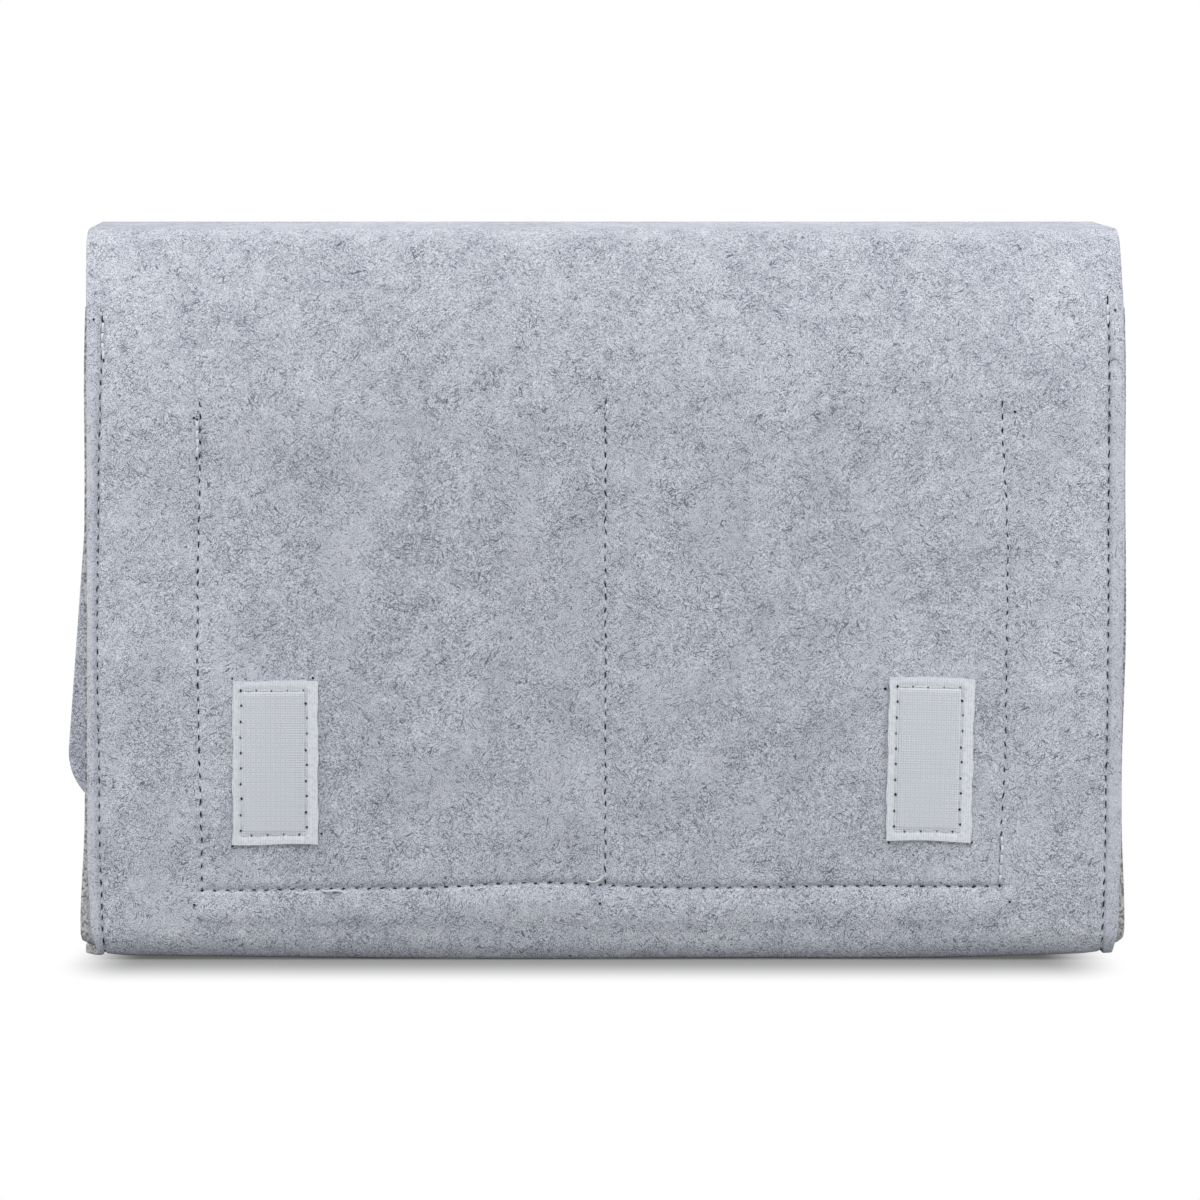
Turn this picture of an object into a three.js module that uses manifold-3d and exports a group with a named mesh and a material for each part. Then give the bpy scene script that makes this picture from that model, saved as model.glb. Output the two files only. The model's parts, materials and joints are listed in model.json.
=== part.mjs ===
// Felt bedside caddy: a sewn felt bag whose rear panel runs on into a flap over the mouth.
// Millimetres, +Z up. The rear panel faces -Y, the flap hangs over the front at +Y.
// The origin is the middle of the base, on the surface that the caddy stands on.
import * as THREE from "three";
import { mergeVertices } from "three/addons/utils/BufferGeometryUtils.js";
import Module from "manifold-3d";

const wasm = await Module();
wasm.setup();

// Bag
const WIDTH = 305;
const DEPTH = 60;
const MOUTH_HEIGHT = 192;
const FELT = 3;
const BASE_RADIUS = 16;
const SEAT_GAP = 0.3;

// Rear panel above the pocket, which leans over the mouth
const LEAN_RISE = 56;
const LEAN_ANGLE = THREE.MathUtils.degToRad(20);

// Gussets, with margins turned outwards
const GUSSET_MARGIN = 8;
const GUSSET_FELT = 3;

// Flap over the mouth, whose bridge rises to the front
const HEADROOM = 22.1;
const BRIDGE_PITCH = THREE.MathUtils.degToRad(8.8);
const REAR_FOLD_LENGTH = 4.4;
const FRONT_FOLD_LENGTH = 12.4;
const FOLD_GAP = 0.4;
const FOLD_MITRE = THREE.MathUtils.degToRad(29);
const APRON_LENGTH = 176.3;
const APRON_CORNER = 20;
const APRON_CLEARANCE = 1.5;
const FLAP_DRIFT = Math.tan(THREE.MathUtils.degToRad(4.15));

// Divided pocket inside the rear panel
const POCKET_FELT = 2;
const POCKET_SIDE_INSET = 29.5;
const POCKET_ABOVE_ROLL = 0.6;
const POCKET_HEIGHT = 150;
const POCKET_MARGIN = 4.5;
const POCKET_BOW = 8;
const POCKET_TOE = 30;
const POCKET_BOW_POWER = 3;
const POCKET_COLUMNS = 28;
const POCKET_ROWS = 8;
const POCKET_ROW_BIAS = 1.6;

// Hook and loop tapes
const TAPE_WIDTH = 25.2;
const TAPE_LENGTH = 48;
const TAPE_THICKNESS = 0.8;
const TAPE_FIELD_HEIGHT = 1.4;
const TAPE_SELVEDGE = 3.8;
const TAPE_STITCH_INSET = 2.4;
const TAPE_SIDE_GAP = 9.3;
const TAPE_ABOVE_SEAM = 12.4;
const TAPE_CORNER = 0.8;
const HOOK_RIGHT_TILT = THREE.MathUtils.degToRad(1.36);
const LOOP_END_GAP = 8;

// Lockstitch thread
const THREAD = 0.7;
const STITCH_PITCH = 3.8;
const TAPE_STITCH_PITCH = 4.5;
const STITCH_ARCH = 0.35;
const SIDE_SEAM_INSET = 4.5;
const SIDE_SEAM_START = 3;
const SIDE_SEAM_TURN = THREE.MathUtils.degToRad(66);
const STITCH_CORNER = 1.5;

// Facets
const CURVE_SEGMENTS = 8;
const TAPE_CORNER_SEGMENTS = 2;
const MERGE_DISTANCE = 1e-4;

// Places that follow from the sizes
const bridgeStartZ = MOUTH_HEIGHT + HEADROOM;
const rearBend = (Math.PI / 2 - BRIDGE_PITCH - LEAN_ANGLE) / 2;
const frontBend = (Math.PI / 2 + BRIDGE_PITCH) / 2;
const rearFoldHeight = bridgeStartZ - REAR_FOLD_LENGTH * Math.cos(LEAN_ANGLE + rearBend);
const leanStart = rearFoldHeight - LEAN_RISE;
const leanRadius = LEAN_RISE / Math.sin(LEAN_ANGLE);
const rearMiddle = -DEPTH / 2 + FELT / 2;
const leanCentre = rearMiddle + leanRadius;
const rearFoldY = leanCentre - leanRadius * Math.cos(LEAN_ANGLE);
const bridgeStartY = rearFoldY + REAR_FOLD_LENGTH * Math.sin(LEAN_ANGLE + rearBend);
const apronY = DEPTH / 2 + APRON_CLEARANCE + FELT / 2;
const bridgeEndY = apronY - FRONT_FOLD_LENGTH * Math.sin(frontBend);
const bridgeLength = (bridgeEndY - bridgeStartY) / Math.cos(BRIDGE_PITCH);
const pocketBottom = BASE_RADIUS + POCKET_ABOVE_ROLL;
const pocketTop = pocketBottom + POCKET_HEIGHT;
const pocketHalf = WIDTH / 2 - POCKET_SIDE_INSET;
const pocketSeamX = pocketHalf - POCKET_MARGIN;
const pocketSeamBottom = pocketBottom + POCKET_MARGIN;
const pocketSeamTop = pocketTop - POCKET_MARGIN;
const tapeX = pocketSeamX - TAPE_SIDE_GAP - TAPE_WIDTH / 2;
const tapeZ = pocketSeamBottom + TAPE_ABOVE_SEAM + TAPE_LENGTH / 2;

const felt = new THREE.MeshStandardMaterial({ color: 0xacafb8, roughness: 1, metalness: 0 });
const pocketFelt = new THREE.MeshStandardMaterial({ color: 0xa9acb5, roughness: 1, metalness: 0 });
const hookTape = new THREE.MeshStandardMaterial({ color: 0xdfe2e7, roughness: 0.7, metalness: 0 });
const loopTape = new THREE.MeshStandardMaterial({ color: 0xd9dce2, roughness: 1, metalness: 0 });
const thread = new THREE.MeshStandardMaterial({ color: 0xd3d6dc, roughness: 0.6, metalness: 0 });

// Solids for cuts and joins
function toSolid(geometry) {
  const bare = geometry.clone();
  bare.deleteAttribute("normal");
  bare.deleteAttribute("uv");
  const merged = mergeVertices(bare, MERGE_DISTANCE);
  const vertProperties = new Float32Array(merged.attributes.position.array);
  const triVerts = new Uint32Array(merged.index.array);
  return new wasm.Manifold(new wasm.Mesh({ numProp: 3, vertProperties, triVerts }));
}

function toGeometry(solid) {
  const mesh = solid.getMesh();
  const geometry = new THREE.BufferGeometry();
  geometry.setAttribute("position", new THREE.BufferAttribute(mesh.vertProperties, 3));
  geometry.setIndex(new THREE.BufferAttribute(mesh.triVerts, 1));
  geometry.computeVertexNormals();
  return geometry;
}

function named(name, geometry, material) {
  const mesh = new THREE.Mesh(geometry, material);
  mesh.name = name;
  return mesh;
}

// A profile drawn in Y and Z, carried along X from x0 to x1
function carriedAlongX(shape, x0, x1) {
  const options = { depth: x1 - x0, bevelEnabled: false, curveSegments: CURVE_SEGMENTS };
  const geometry = new THREE.ExtrudeGeometry(shape, options);
  const turn = new THREE.Matrix4().makeBasis(
    new THREE.Vector3(0, 1, 0),
    new THREE.Vector3(0, 0, 1),
    new THREE.Vector3(1, 0, 0),
  );
  return geometry.applyMatrix4(turn).translate(x0, 0, 0);
}

// An outline drawn in X and Z, carried along -Y from y0 by a thickness
function carriedAlongY(shape, y0, thickness, curveSegments = CURVE_SEGMENTS) {
  const options = { depth: thickness, bevelEnabled: false, curveSegments };
  const geometry = new THREE.ExtrudeGeometry(shape, options);
  return geometry.rotateX(Math.PI / 2).translate(0, y0, 0);
}

// Y of the rear panel at a height, measured an inset inside its outer face
function rearFace(z, inset) {
  if (z <= leanStart) return -DEPTH / 2 + inset;
  const radius = leanRadius + FELT / 2 - inset;
  return leanCentre - Math.sqrt(radius ** 2 - (z - leanStart) ** 2);
}

// One felt strip: front panel, rolled bottom and leaning rear panel, mitred at the rear fold
function bodyWrap() {
  const outer = DEPTH / 2;
  const inner = outer - FELT;
  const rollY = DEPTH / 2 - BASE_RADIUS;
  const innerRoll = BASE_RADIUS - FELT;
  const tipAngle = LEAN_ANGLE - FOLD_GAP / 2 / leanRadius;
  const mitreAngle = tipAngle - (FELT / 2) * Math.tan(FOLD_MITRE) / leanRadius;
  const profile = new THREE.Shape();
  profile.moveTo(inner, MOUTH_HEIGHT);
  profile.lineTo(inner, BASE_RADIUS);
  profile.absarc(rollY, BASE_RADIUS, innerRoll, 0, -Math.PI / 2, true);
  profile.absarc(-rollY, BASE_RADIUS, innerRoll, -Math.PI / 2, -Math.PI, true);
  profile.absarc(leanCentre, leanStart, leanRadius - FELT / 2, Math.PI, Math.PI - mitreAngle, true);
  profile.lineTo(
    leanCentre - leanRadius * Math.cos(tipAngle),
    leanStart + leanRadius * Math.sin(tipAngle),
  );
  profile.absarc(leanCentre, leanStart, leanRadius + FELT / 2, Math.PI - mitreAngle, Math.PI, false);
  profile.absarc(-rollY, BASE_RADIUS, BASE_RADIUS, -Math.PI, -Math.PI / 2, false);
  profile.absarc(rollY, BASE_RADIUS, BASE_RADIUS, -Math.PI / 2, 0, false);
  profile.lineTo(outer, MOUTH_HEIGHT);
  return carriedAlongX(profile, -WIDTH / 2, WIDTH / 2);
}

// Side view of the space inside the wrap, an inset inside its outer faces and up to a height
function bagSection(inset, top) {
  const front = DEPTH / 2 - inset;
  const rollY = DEPTH / 2 - BASE_RADIUS;
  const roll = BASE_RADIUS - inset;
  const leanArc = leanRadius + FELT / 2 - inset;
  const topAngle = Math.asin((top - leanStart) / leanArc);
  const section = new THREE.Shape();
  section.moveTo(front, top);
  section.absarc(leanCentre, leanStart, leanArc, Math.PI - topAngle, Math.PI, false);
  section.absarc(-rollY, BASE_RADIUS, roll, -Math.PI, -Math.PI / 2, false);
  section.absarc(rollY, BASE_RADIUS, roll, -Math.PI / 2, 0, false);
  section.lineTo(front, top);
  return section;
}

// Side panel: a web with its margin turned outwards along the front, bottom and rear
function gusset(side) {
  const edge = WIDTH / 2;
  const webOuter = edge - GUSSET_MARGIN;
  const webInner = webOuter - GUSSET_FELT;
  const seat = FELT + SEAT_GAP;
  const blank = bagSection(seat, MOUTH_HEIGHT);
  const hollow = bagSection(seat + GUSSET_FELT, MOUTH_HEIGHT + GUSSET_MARGIN);
  const span = (a, b) => (side > 0 ? [a, b] : [-b, -a]);
  const block = toSolid(carriedAlongX(blank, ...span(webInner, edge)));
  const dish = toSolid(carriedAlongX(hollow, ...span(webOuter, edge + GUSSET_MARGIN)));
  return toGeometry(block.subtract(dish));
}

// One length of the flap with pointed, mitred ends: local Z runs along the felt, -Y is its outer face
function flapSection(length, squareEnd) {
  const half = FELT / 2;
  const cut = half * Math.tan(FOLD_MITRE);
  const start = FOLD_GAP / 2;
  const end = squareEnd ? length : length - FOLD_GAP / 2;
  const endCut = squareEnd ? 0 : cut;
  const section = new THREE.Shape();
  section.moveTo(0, start);
  section.lineTo(half, start + cut);
  section.lineTo(half, end - endCut);
  if (!squareEnd) section.lineTo(0, end);
  section.lineTo(-half, end - endCut);
  section.lineTo(-half, start + cut);
  return section;
}

// The flap hangs a little askew, so every length of it drifts sideways as it runs on
function drifted(geometry) {
  const shear = new THREE.Matrix4().makeShear(0, 0, 0, 0, -FLAP_DRIFT, 0);
  return geometry.applyMatrix4(shear);
}

function flapStrip(length) {
  return drifted(carriedAlongX(flapSection(length, false), -WIDTH / 2, WIDTH / 2));
}

// The hanging end of the flap, with two rounded corners at its free edge
function flapApron() {
  const half = WIDTH / 2;
  const outline = new THREE.Shape();
  outline.moveTo(-half, 0);
  outline.lineTo(-half, APRON_LENGTH - APRON_CORNER);
  outline.absarc(-half + APRON_CORNER, APRON_LENGTH - APRON_CORNER, APRON_CORNER, Math.PI, Math.PI / 2, true);
  outline.absarc(half - APRON_CORNER, APRON_LENGTH - APRON_CORNER, APRON_CORNER, Math.PI / 2, 0, true);
  outline.lineTo(half, 0);
  const sheet = toSolid(carriedAlongX(flapSection(APRON_LENGTH, true), -half, half));
  const cutter = toSolid(carriedAlongY(outline, FELT, 2 * FELT));
  return drifted(toGeometry(sheet.intersect(cutter)));
}

// How far the pocket stands off the rear panel: two bowed bays over a toe that closes at the seam
function pocketBow(x, z) {
  const bay = Math.min(1, Math.abs(x) / pocketSeamX);
  const across = 1 - Math.abs(2 * bay - 1) ** POCKET_BOW_POWER;
  const rise = THREE.MathUtils.smoothstep(z, pocketSeamBottom, pocketSeamBottom + POCKET_TOE);
  return POCKET_BOW * across * rise;
}

// Divided pocket: a grid of points on both faces of a thin panel, closed round its rim
function innerPocket() {
  const columns = POCKET_COLUMNS;
  const rows = POCKET_ROWS;
  const positions = [];
  for (const lift of [0, POCKET_FELT]) {
    for (let row = 0; row <= rows; row += 1) {
      const along = (row / rows) ** POCKET_ROW_BIAS;
      const z = pocketBottom + POCKET_HEIGHT * along;
      for (let column = 0; column <= columns; column += 1) {
        const x = pocketHalf * (2 * column / columns - 1);
        const seat = rearFace(z, FELT + SEAT_GAP);
        positions.push(x, seat + pocketBow(x, z) + lift, z);
      }
    }
  }
  const perFace = (columns + 1) * (rows + 1);
  const at = (face, row, column) => face * perFace + row * (columns + 1) + column;
  const index = [];
  const quad = (a, b, c, d) => index.push(a, b, c, a, c, d);
  for (let row = 0; row < rows; row += 1) {
    for (let column = 0; column < columns; column += 1) {
      const [r, c] = [row + 1, column + 1];
      quad(at(0, row, column), at(0, row, c), at(0, r, c), at(0, r, column));
      quad(at(1, row, column), at(1, r, column), at(1, r, c), at(1, row, c));
    }
  }
  for (let column = 0; column < columns; column += 1) {
    const c = column + 1;
    quad(at(0, 0, column), at(1, 0, column), at(1, 0, c), at(0, 0, c));
    quad(at(0, rows, column), at(0, rows, c), at(1, rows, c), at(1, rows, column));
  }
  for (let row = 0; row < rows; row += 1) {
    const r = row + 1;
    quad(at(0, row, 0), at(0, r, 0), at(1, r, 0), at(1, row, 0));
    quad(at(0, row, columns), at(1, row, columns), at(1, r, columns), at(0, r, columns));
  }
  const geometry = new THREE.BufferGeometry();
  geometry.setAttribute("position", new THREE.Float32BufferAttribute(positions, 3));
  geometry.setIndex(index);
  geometry.computeVertexNormals();
  return geometry;
}

function roundedRectangle(width, height, radius) {
  const [w, h] = [width / 2, height / 2];
  const shape = new THREE.Shape();
  shape.moveTo(-w, -h + radius);
  shape.absarc(w - radius, -h + radius, radius, -Math.PI / 2, 0, false);
  shape.absarc(w - radius, h - radius, radius, 0, Math.PI / 2, false);
  shape.absarc(-w + radius, h - radius, radius, Math.PI / 2, Math.PI, false);
  shape.absarc(-w + radius, -h + radius, radius, Math.PI, 1.5 * Math.PI, false);
  return shape;
}

// Fastening tape: a woven base with plain selvedges round a raised hook or loop field, facing -Y
function tape() {
  const base = roundedRectangle(TAPE_WIDTH, TAPE_LENGTH, TAPE_CORNER);
  const fieldWidth = TAPE_WIDTH - 2 * TAPE_SELVEDGE;
  const fieldLength = TAPE_LENGTH - 2 * TAPE_SELVEDGE;
  const field = roundedRectangle(fieldWidth, fieldLength, TAPE_CORNER);
  const fieldTop = TAPE_THICKNESS + TAPE_FIELD_HEIGHT;
  const plate = toSolid(carriedAlongY(base, 0, TAPE_THICKNESS, TAPE_CORNER_SEGMENTS));
  const pile = toSolid(carriedAlongY(field, 0, fieldTop, TAPE_CORNER_SEGMENTS));
  return toGeometry(plate.add(pile));
}

// A sewn thread that follows a flat path, rising in an arch between one needle hole and the next
class LockStitch extends THREE.Curve {
  constructor(path, pitch, place) {
    super();
    this.path = path;
    this.place = place;
    this.stitches = Math.round(path.getLength() / pitch);
  }

  getPoint(t, target = new THREE.Vector3()) {
    const arch = STITCH_ARCH * Math.abs(Math.sin(Math.PI * this.stitches * t));
    const lift = SEAT_GAP + THREAD / 2 + arch;
    return target.copy(this.place(this.path.getPoint(t), this.path.getTangent(t), lift));
  }

  getUtoTmapping(u) {
    return u;
  }
}

function threadAlong(path, pitch, place) {
  const half = THREAD / 2;
  const section = new THREE.Shape();
  section.moveTo(-half, 0);
  section.lineTo(0, -half);
  section.lineTo(half, 0);
  section.lineTo(0, half);
  const extrudePath = new LockStitch(path, pitch, place);
  return new THREE.ExtrudeGeometry(section, { steps: 2 * extrudePath.stitches, extrudePath });
}

// Side seams lie on the wrap's outer face, an inset from its edge, and turn with the rolled bottom
function rearSeamPath() {
  const top = MOUTH_HEIGHT - SIDE_SEAM_START;
  const outerArc = leanRadius + FELT / 2;
  const topAngle = Math.asin((top - leanStart) / outerArc);
  const path = new THREE.Path();
  path.absarc(leanCentre, leanStart, outerArc, Math.PI - topAngle, Math.PI, false);
  path.absarc(BASE_RADIUS - DEPTH / 2, BASE_RADIUS, BASE_RADIUS, -Math.PI, SIDE_SEAM_TURN - Math.PI, false);
  return path;
}

function frontSeamPath() {
  const path = new THREE.Path();
  const turned = -SIDE_SEAM_TURN;
  path.absarc(DEPTH / 2 - BASE_RADIUS, BASE_RADIUS, BASE_RADIUS, turned, 0, false);
  path.lineTo(DEPTH / 2, MOUTH_HEIGHT - SIDE_SEAM_START);
  return path;
}

// Both side seam paths keep the felt on their left, so the thread lies to the right of the path
function onWrap(x) {
  return (point, tangent, lift) =>
    new THREE.Vector3(x, point.x + tangent.y * lift, point.y - tangent.x * lift);
}

function onRearPanel(point, tangent, lift) {
  return new THREE.Vector3(point.x, rearFace(point.y, 0) - lift, point.y);
}

function onTape(point, tangent, lift) {
  return new THREE.Vector3(point.x, -TAPE_THICKNESS - lift, point.y);
}

// The U of the pocket seam: down one side, along the bottom and up the other
function pocketSeamPath() {
  const path = new THREE.Path();
  const corner = STITCH_CORNER;
  path.moveTo(-pocketSeamX, pocketSeamTop);
  path.lineTo(-pocketSeamX, pocketSeamBottom + corner);
  path.absarc(-pocketSeamX + corner, pocketSeamBottom + corner, corner, Math.PI, 1.5 * Math.PI, false);
  path.absarc(pocketSeamX - corner, pocketSeamBottom + corner, corner, -Math.PI / 2, 0, false);
  path.lineTo(pocketSeamX, pocketSeamTop);
  return path;
}

// The divider runs from the pocket's mouth to just above the bottom line of the U
function dividerPath() {
  const path = new THREE.Path();
  path.moveTo(0, pocketSeamTop);
  path.lineTo(0, pocketSeamBottom + THREAD + SEAT_GAP);
  return path;
}

// Once round a tape's selvedge, stopping a stitch's gap short of where it began
function tapeStitchPath() {
  const x = TAPE_WIDTH / 2 - TAPE_STITCH_INSET;
  const z = TAPE_LENGTH / 2 - TAPE_STITCH_INSET;
  const stop = THREAD + SEAT_GAP;
  const path = new THREE.Path();
  path.moveTo(-x, -z + stop);
  path.lineTo(-x, z);
  path.lineTo(x, z);
  path.lineTo(x, -z);
  path.lineTo(-x + stop, -z);
  return path;
}

// A tape with its own seam, set on a felt face whose outward side is -Y
function sewnTape(tapeName, stitchName, material) {
  const group = new THREE.Group();
  group.add(named(tapeName, tape(), material));
  const stitch = threadAlong(tapeStitchPath(), TAPE_STITCH_PITCH, onTape);
  group.add(named(stitchName, stitch, thread));
  return group;
}

const caddy = new THREE.Group();
const sides = [["left", -1], ["right", 1]];

caddy.add(named("body_wrap", bodyWrap(), felt));
caddy.add(named("inner_pocket", innerPocket(), pocketFelt));
for (const [word, side] of sides) {
  caddy.add(named(`gusset_${word}`, gusset(side), felt));
  const seamX = side * (WIDTH / 2 - SIDE_SEAM_INSET);
  const rearSeam = threadAlong(rearSeamPath(), STITCH_PITCH, onWrap(seamX));
  const frontSeam = threadAlong(frontSeamPath(), STITCH_PITCH, onWrap(seamX));
  caddy.add(named(`side_seam_rear_${word}`, rearSeam, thread));
  caddy.add(named(`side_seam_front_${word}`, frontSeam, thread));
  const hook = sewnTape(`hook_tape_${word}`, `hook_stitch_${word}`, hookTape);
  hook.position.set(side * tapeX, -DEPTH / 2 - SEAT_GAP, tapeZ);
  if (side > 0) hook.rotation.y = HOOK_RIGHT_TILT;
  caddy.add(hook);
}
caddy.add(named("pocket_seam", threadAlong(pocketSeamPath(), STITCH_PITCH, onRearPanel), thread));
caddy.add(named("pocket_divider_seam", threadAlong(dividerPath(), STITCH_PITCH, onRearPanel), thread));

// The flap: each length hangs on the end of the one before and turns by its share of the fold
const flapLengths = [
  ["flap_rear_fold", REAR_FOLD_LENGTH, LEAN_ANGLE + rearBend],
  ["flap_bridge", bridgeLength, rearBend],
  ["flap_front_fold", FRONT_FOLD_LENGTH, frontBend],
];
let hinge = new THREE.Group();
hinge.position.set(0, rearFoldY, rearFoldHeight);
caddy.add(hinge);
for (const [name, length, bend] of flapLengths) {
  hinge.rotation.x = -bend;
  hinge.add(named(name, flapStrip(length), felt));
  const next = new THREE.Group();
  next.position.set(-FLAP_DRIFT * length, 0, length);
  hinge.add(next);
  hinge = next;
}
hinge.rotation.x = -frontBend;
hinge.add(named("flap_apron", flapApron(), felt));

// Loop tapes near the apron's free end, where they come over the hook tapes when the flap is wrapped
const loopRow = APRON_LENGTH - LOOP_END_GAP - TAPE_LENGTH / 2;
for (const [word, side] of sides) {
  const loop = sewnTape(`loop_tape_${word}`, `loop_stitch_${word}`, loopTape);
  loop.position.set(side * tapeX - FLAP_DRIFT * loopRow, -FELT / 2 - SEAT_GAP, loopRow);
  hinge.add(loop);
}

export default caddy;
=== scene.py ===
"""A felt bedside caddy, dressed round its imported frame.

One long strip of felt makes the front panel, the rolled bottom, the rear panel and the flap. Two gussets,
a divided pocket, two pairs of fastening tapes and the lockstitch seams are set on it. Shapes are worked out
in millimetres in the frame's axes: the rear panel faces -Y, +X is to its right and +Z is up.
"""
import json
import logging
import math
from abc import ABC, abstractmethod
from dataclasses import dataclass, field, replace
from enum import Enum
from functools import partial
from typing import Any, Callable, Optional

import bmesh
import bpy
import numpy as np
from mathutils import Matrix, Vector


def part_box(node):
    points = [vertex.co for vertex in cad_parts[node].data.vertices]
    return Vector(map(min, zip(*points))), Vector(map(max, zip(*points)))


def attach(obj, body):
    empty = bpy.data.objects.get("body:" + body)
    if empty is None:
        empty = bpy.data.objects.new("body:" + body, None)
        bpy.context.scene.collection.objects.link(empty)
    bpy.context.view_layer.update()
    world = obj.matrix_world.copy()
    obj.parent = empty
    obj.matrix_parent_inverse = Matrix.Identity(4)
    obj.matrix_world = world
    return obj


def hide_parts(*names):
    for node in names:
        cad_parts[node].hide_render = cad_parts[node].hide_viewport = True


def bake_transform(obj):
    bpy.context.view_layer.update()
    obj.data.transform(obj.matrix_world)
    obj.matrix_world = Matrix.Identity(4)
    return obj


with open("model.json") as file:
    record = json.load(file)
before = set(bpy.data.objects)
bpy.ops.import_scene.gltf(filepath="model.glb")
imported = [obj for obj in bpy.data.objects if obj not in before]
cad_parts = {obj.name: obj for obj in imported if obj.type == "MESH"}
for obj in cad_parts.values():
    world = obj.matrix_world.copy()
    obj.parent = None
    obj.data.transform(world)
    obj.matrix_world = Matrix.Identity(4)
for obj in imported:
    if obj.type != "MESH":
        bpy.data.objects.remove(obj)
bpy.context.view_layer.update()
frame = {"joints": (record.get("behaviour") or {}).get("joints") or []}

Array = np.ndarray
Face = Callable[[Array, Array, Any], Array]

MM = 0.001
# A wave texture's band repeats every 2 pi / 20 of its scaled coordinate
BAND_TURN = 2 * math.pi / 20
# For each hook tape: whether it is the right one, its middle across and up the rear panel, and its tilt
HOOK_PLACES = ((False, -96.9, 57.3, 0.0), (True, 95.4, 58.3, -math.radians(1.36)))
log = logging.getLogger("caddy")


# Small helpers

def linear(colour: str) -> tuple[float, float, float, float]:
    """Turns an sRGB hex colour into linear light.

    Args:
        colour: Six hex digits after a hash sign.

    Returns:
        Linear red, green and blue, with an alpha of 1.
    """
    channels = np.array([int(colour[i:i + 2], 16) for i in (1, 3, 5)]) / 255
    light = np.where(channels <= 0.04045, channels / 12.92, ((channels + 0.055) / 1.055) ** 2.4)
    return (*light.tolist(), 1.0)


def smoothstep(value: Array, low: float, high: float) -> Array:
    """Eases from 0 at low to 1 at high: three times the square of the share, less twice its cube.

    Args:
        value: Where to take it.
        low: Where it leaves 0.
        high: Where it reaches 1.

    Returns:
        The eased share at each value.
    """
    share = np.clip((value - low) / (high - low), 0, 1)
    return share * share * (3 - 2 * share)


def node_box(name: str) -> tuple[Array, Array]:
    """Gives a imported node's lowest and highest corners in millimetres.

    Args:
        name: The node's name.

    Returns:
        The two corners.
    """
    low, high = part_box(name)
    return np.array(low) / MM, np.array(high) / MM


def add_node(tree: bpy.types.NodeTree, kind: str, inputs: Optional[dict] = None,
             **settings: Any) -> bpy.types.Node:
    """Adds one shader node with its settings, values and links.

    Args:
        tree: The node tree that takes it.
        kind: The node's type.
        inputs: For a socket's name or number, a value or the output that is linked to it.
        settings: Properties of the node.

    Returns:
        The new node.
    """
    node = tree.nodes.new(kind)
    for key, value in settings.items():
        setattr(node, key, value)
    for key, value in (inputs or {}).items():
        if isinstance(value, bpy.types.NodeSocket):
            tree.links.new(value, node.inputs[key])
        else:
            node.inputs[key].default_value = value
    return node


def blank_tree(owner: Any) -> bpy.types.NodeTree:
    """Switches a new material or world to nodes and empties its tree.

    Args:
        owner: The material or world.

    Returns:
        Its node tree.
    """
    owner.use_nodes = True
    owner.node_tree.nodes.clear()
    return owner.node_tree


def aimed(name: str, data: bpy.types.ID, place: tuple[float, float, float],
          aim: tuple[float, float, float]) -> bpy.types.Object:
    """Stands a lamp or a camera at a place and turns it to face its aim.

    Args:
        name: The object's name.
        data: The lamp or camera.
        place: Where it stands, in millimetres.
        aim: What it faces, in millimetres.

    Returns:
        The new object.
    """
    made = bpy.data.objects.new(name, data)
    made.location = Vector(place) * MM
    made.rotation_euler = (Vector(aim) - Vector(place)).to_track_quat("-Z", "Y").to_euler()
    bpy.context.scene.collection.objects.link(made)
    return made


def spaced(*runs: tuple[float, float, float]) -> Array:
    """Places stations along one or more runs, each with about its own step.

    Args:
        runs: Start, end and step of each run, one following the other.

    Returns:
        The stations in order, with none twice.
    """
    parts = [np.linspace(a, b, max(2, round(abs(b - a) / step) + 1)) for a, b, step in runs]
    return np.concatenate([parts[0], *[part[1:] for part in parts[1:]]])


# Surfaces

@dataclass
class Surface:
    """Points and faces of one piece in millimetres.

    pattern holds the coordinates that the finish draws its pattern on. cut is 1 on raw cut edges, and pressed
    is 1 where sewing or weaving keeps the face plain.
    """

    points: Array
    faces: list[Array]
    pattern: Array
    cut: Array
    pressed: Optional[Array] = None

    @staticmethod
    def joined(surfaces: list["Surface"]) -> "Surface":
        """Puts several surfaces into one, each face keeping its own points.

        Args:
            surfaces: The surfaces.

        Returns:
            One surface that holds them all.
        """
        starts = np.cumsum([0] + [len(surface.points) for surface in surfaces])
        return Surface(
            points=np.concatenate([surface.points for surface in surfaces]),
            faces=[rows + start for surface, start in zip(surfaces, starts) for rows in surface.faces],
            pattern=np.concatenate([surface.pattern for surface in surfaces]),
            cut=np.concatenate([surface.cut for surface in surfaces]),
        )


def lofted(sections: Array, cut: Optional[Array] = None, pattern: Optional[Array] = None,
           pressed: Optional[Array] = None) -> Surface:
    """Carries a closed section along a path: point j of section i is joined to its neighbours in i and i + 1.

    Args:
        sections: Points by section, by place round the section, by axis.
        cut: For each point, 1 on a raw cut edge.
        pattern: Coordinates for the finish, if they aren't the points themselves.
        pressed: For each point, 1 where the face is kept plain.

    Returns:
        A closed surface with a flat cap on its first and last section.
    """
    rows, around = sections.shape[:2]
    index = np.arange(rows * around).reshape(rows, around)
    following = np.roll(index, -1, axis=1)
    quads = np.stack([index[:-1], following[:-1], following[1:], index[1:]], axis=-1)
    points = sections.reshape(-1, 3)
    return Surface(
        points=points,
        faces=[quads.reshape(-1, 4), index[:1, ::-1], index[-1:]],
        pattern=points if pattern is None else pattern.reshape(-1, 3),
        cut=np.zeros(len(points)) if cut is None else np.broadcast_to(cut, (rows, around)).ravel(),
        pressed=None if pressed is None else np.broadcast_to(pressed, (rows, around)).ravel(),
    )


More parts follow.
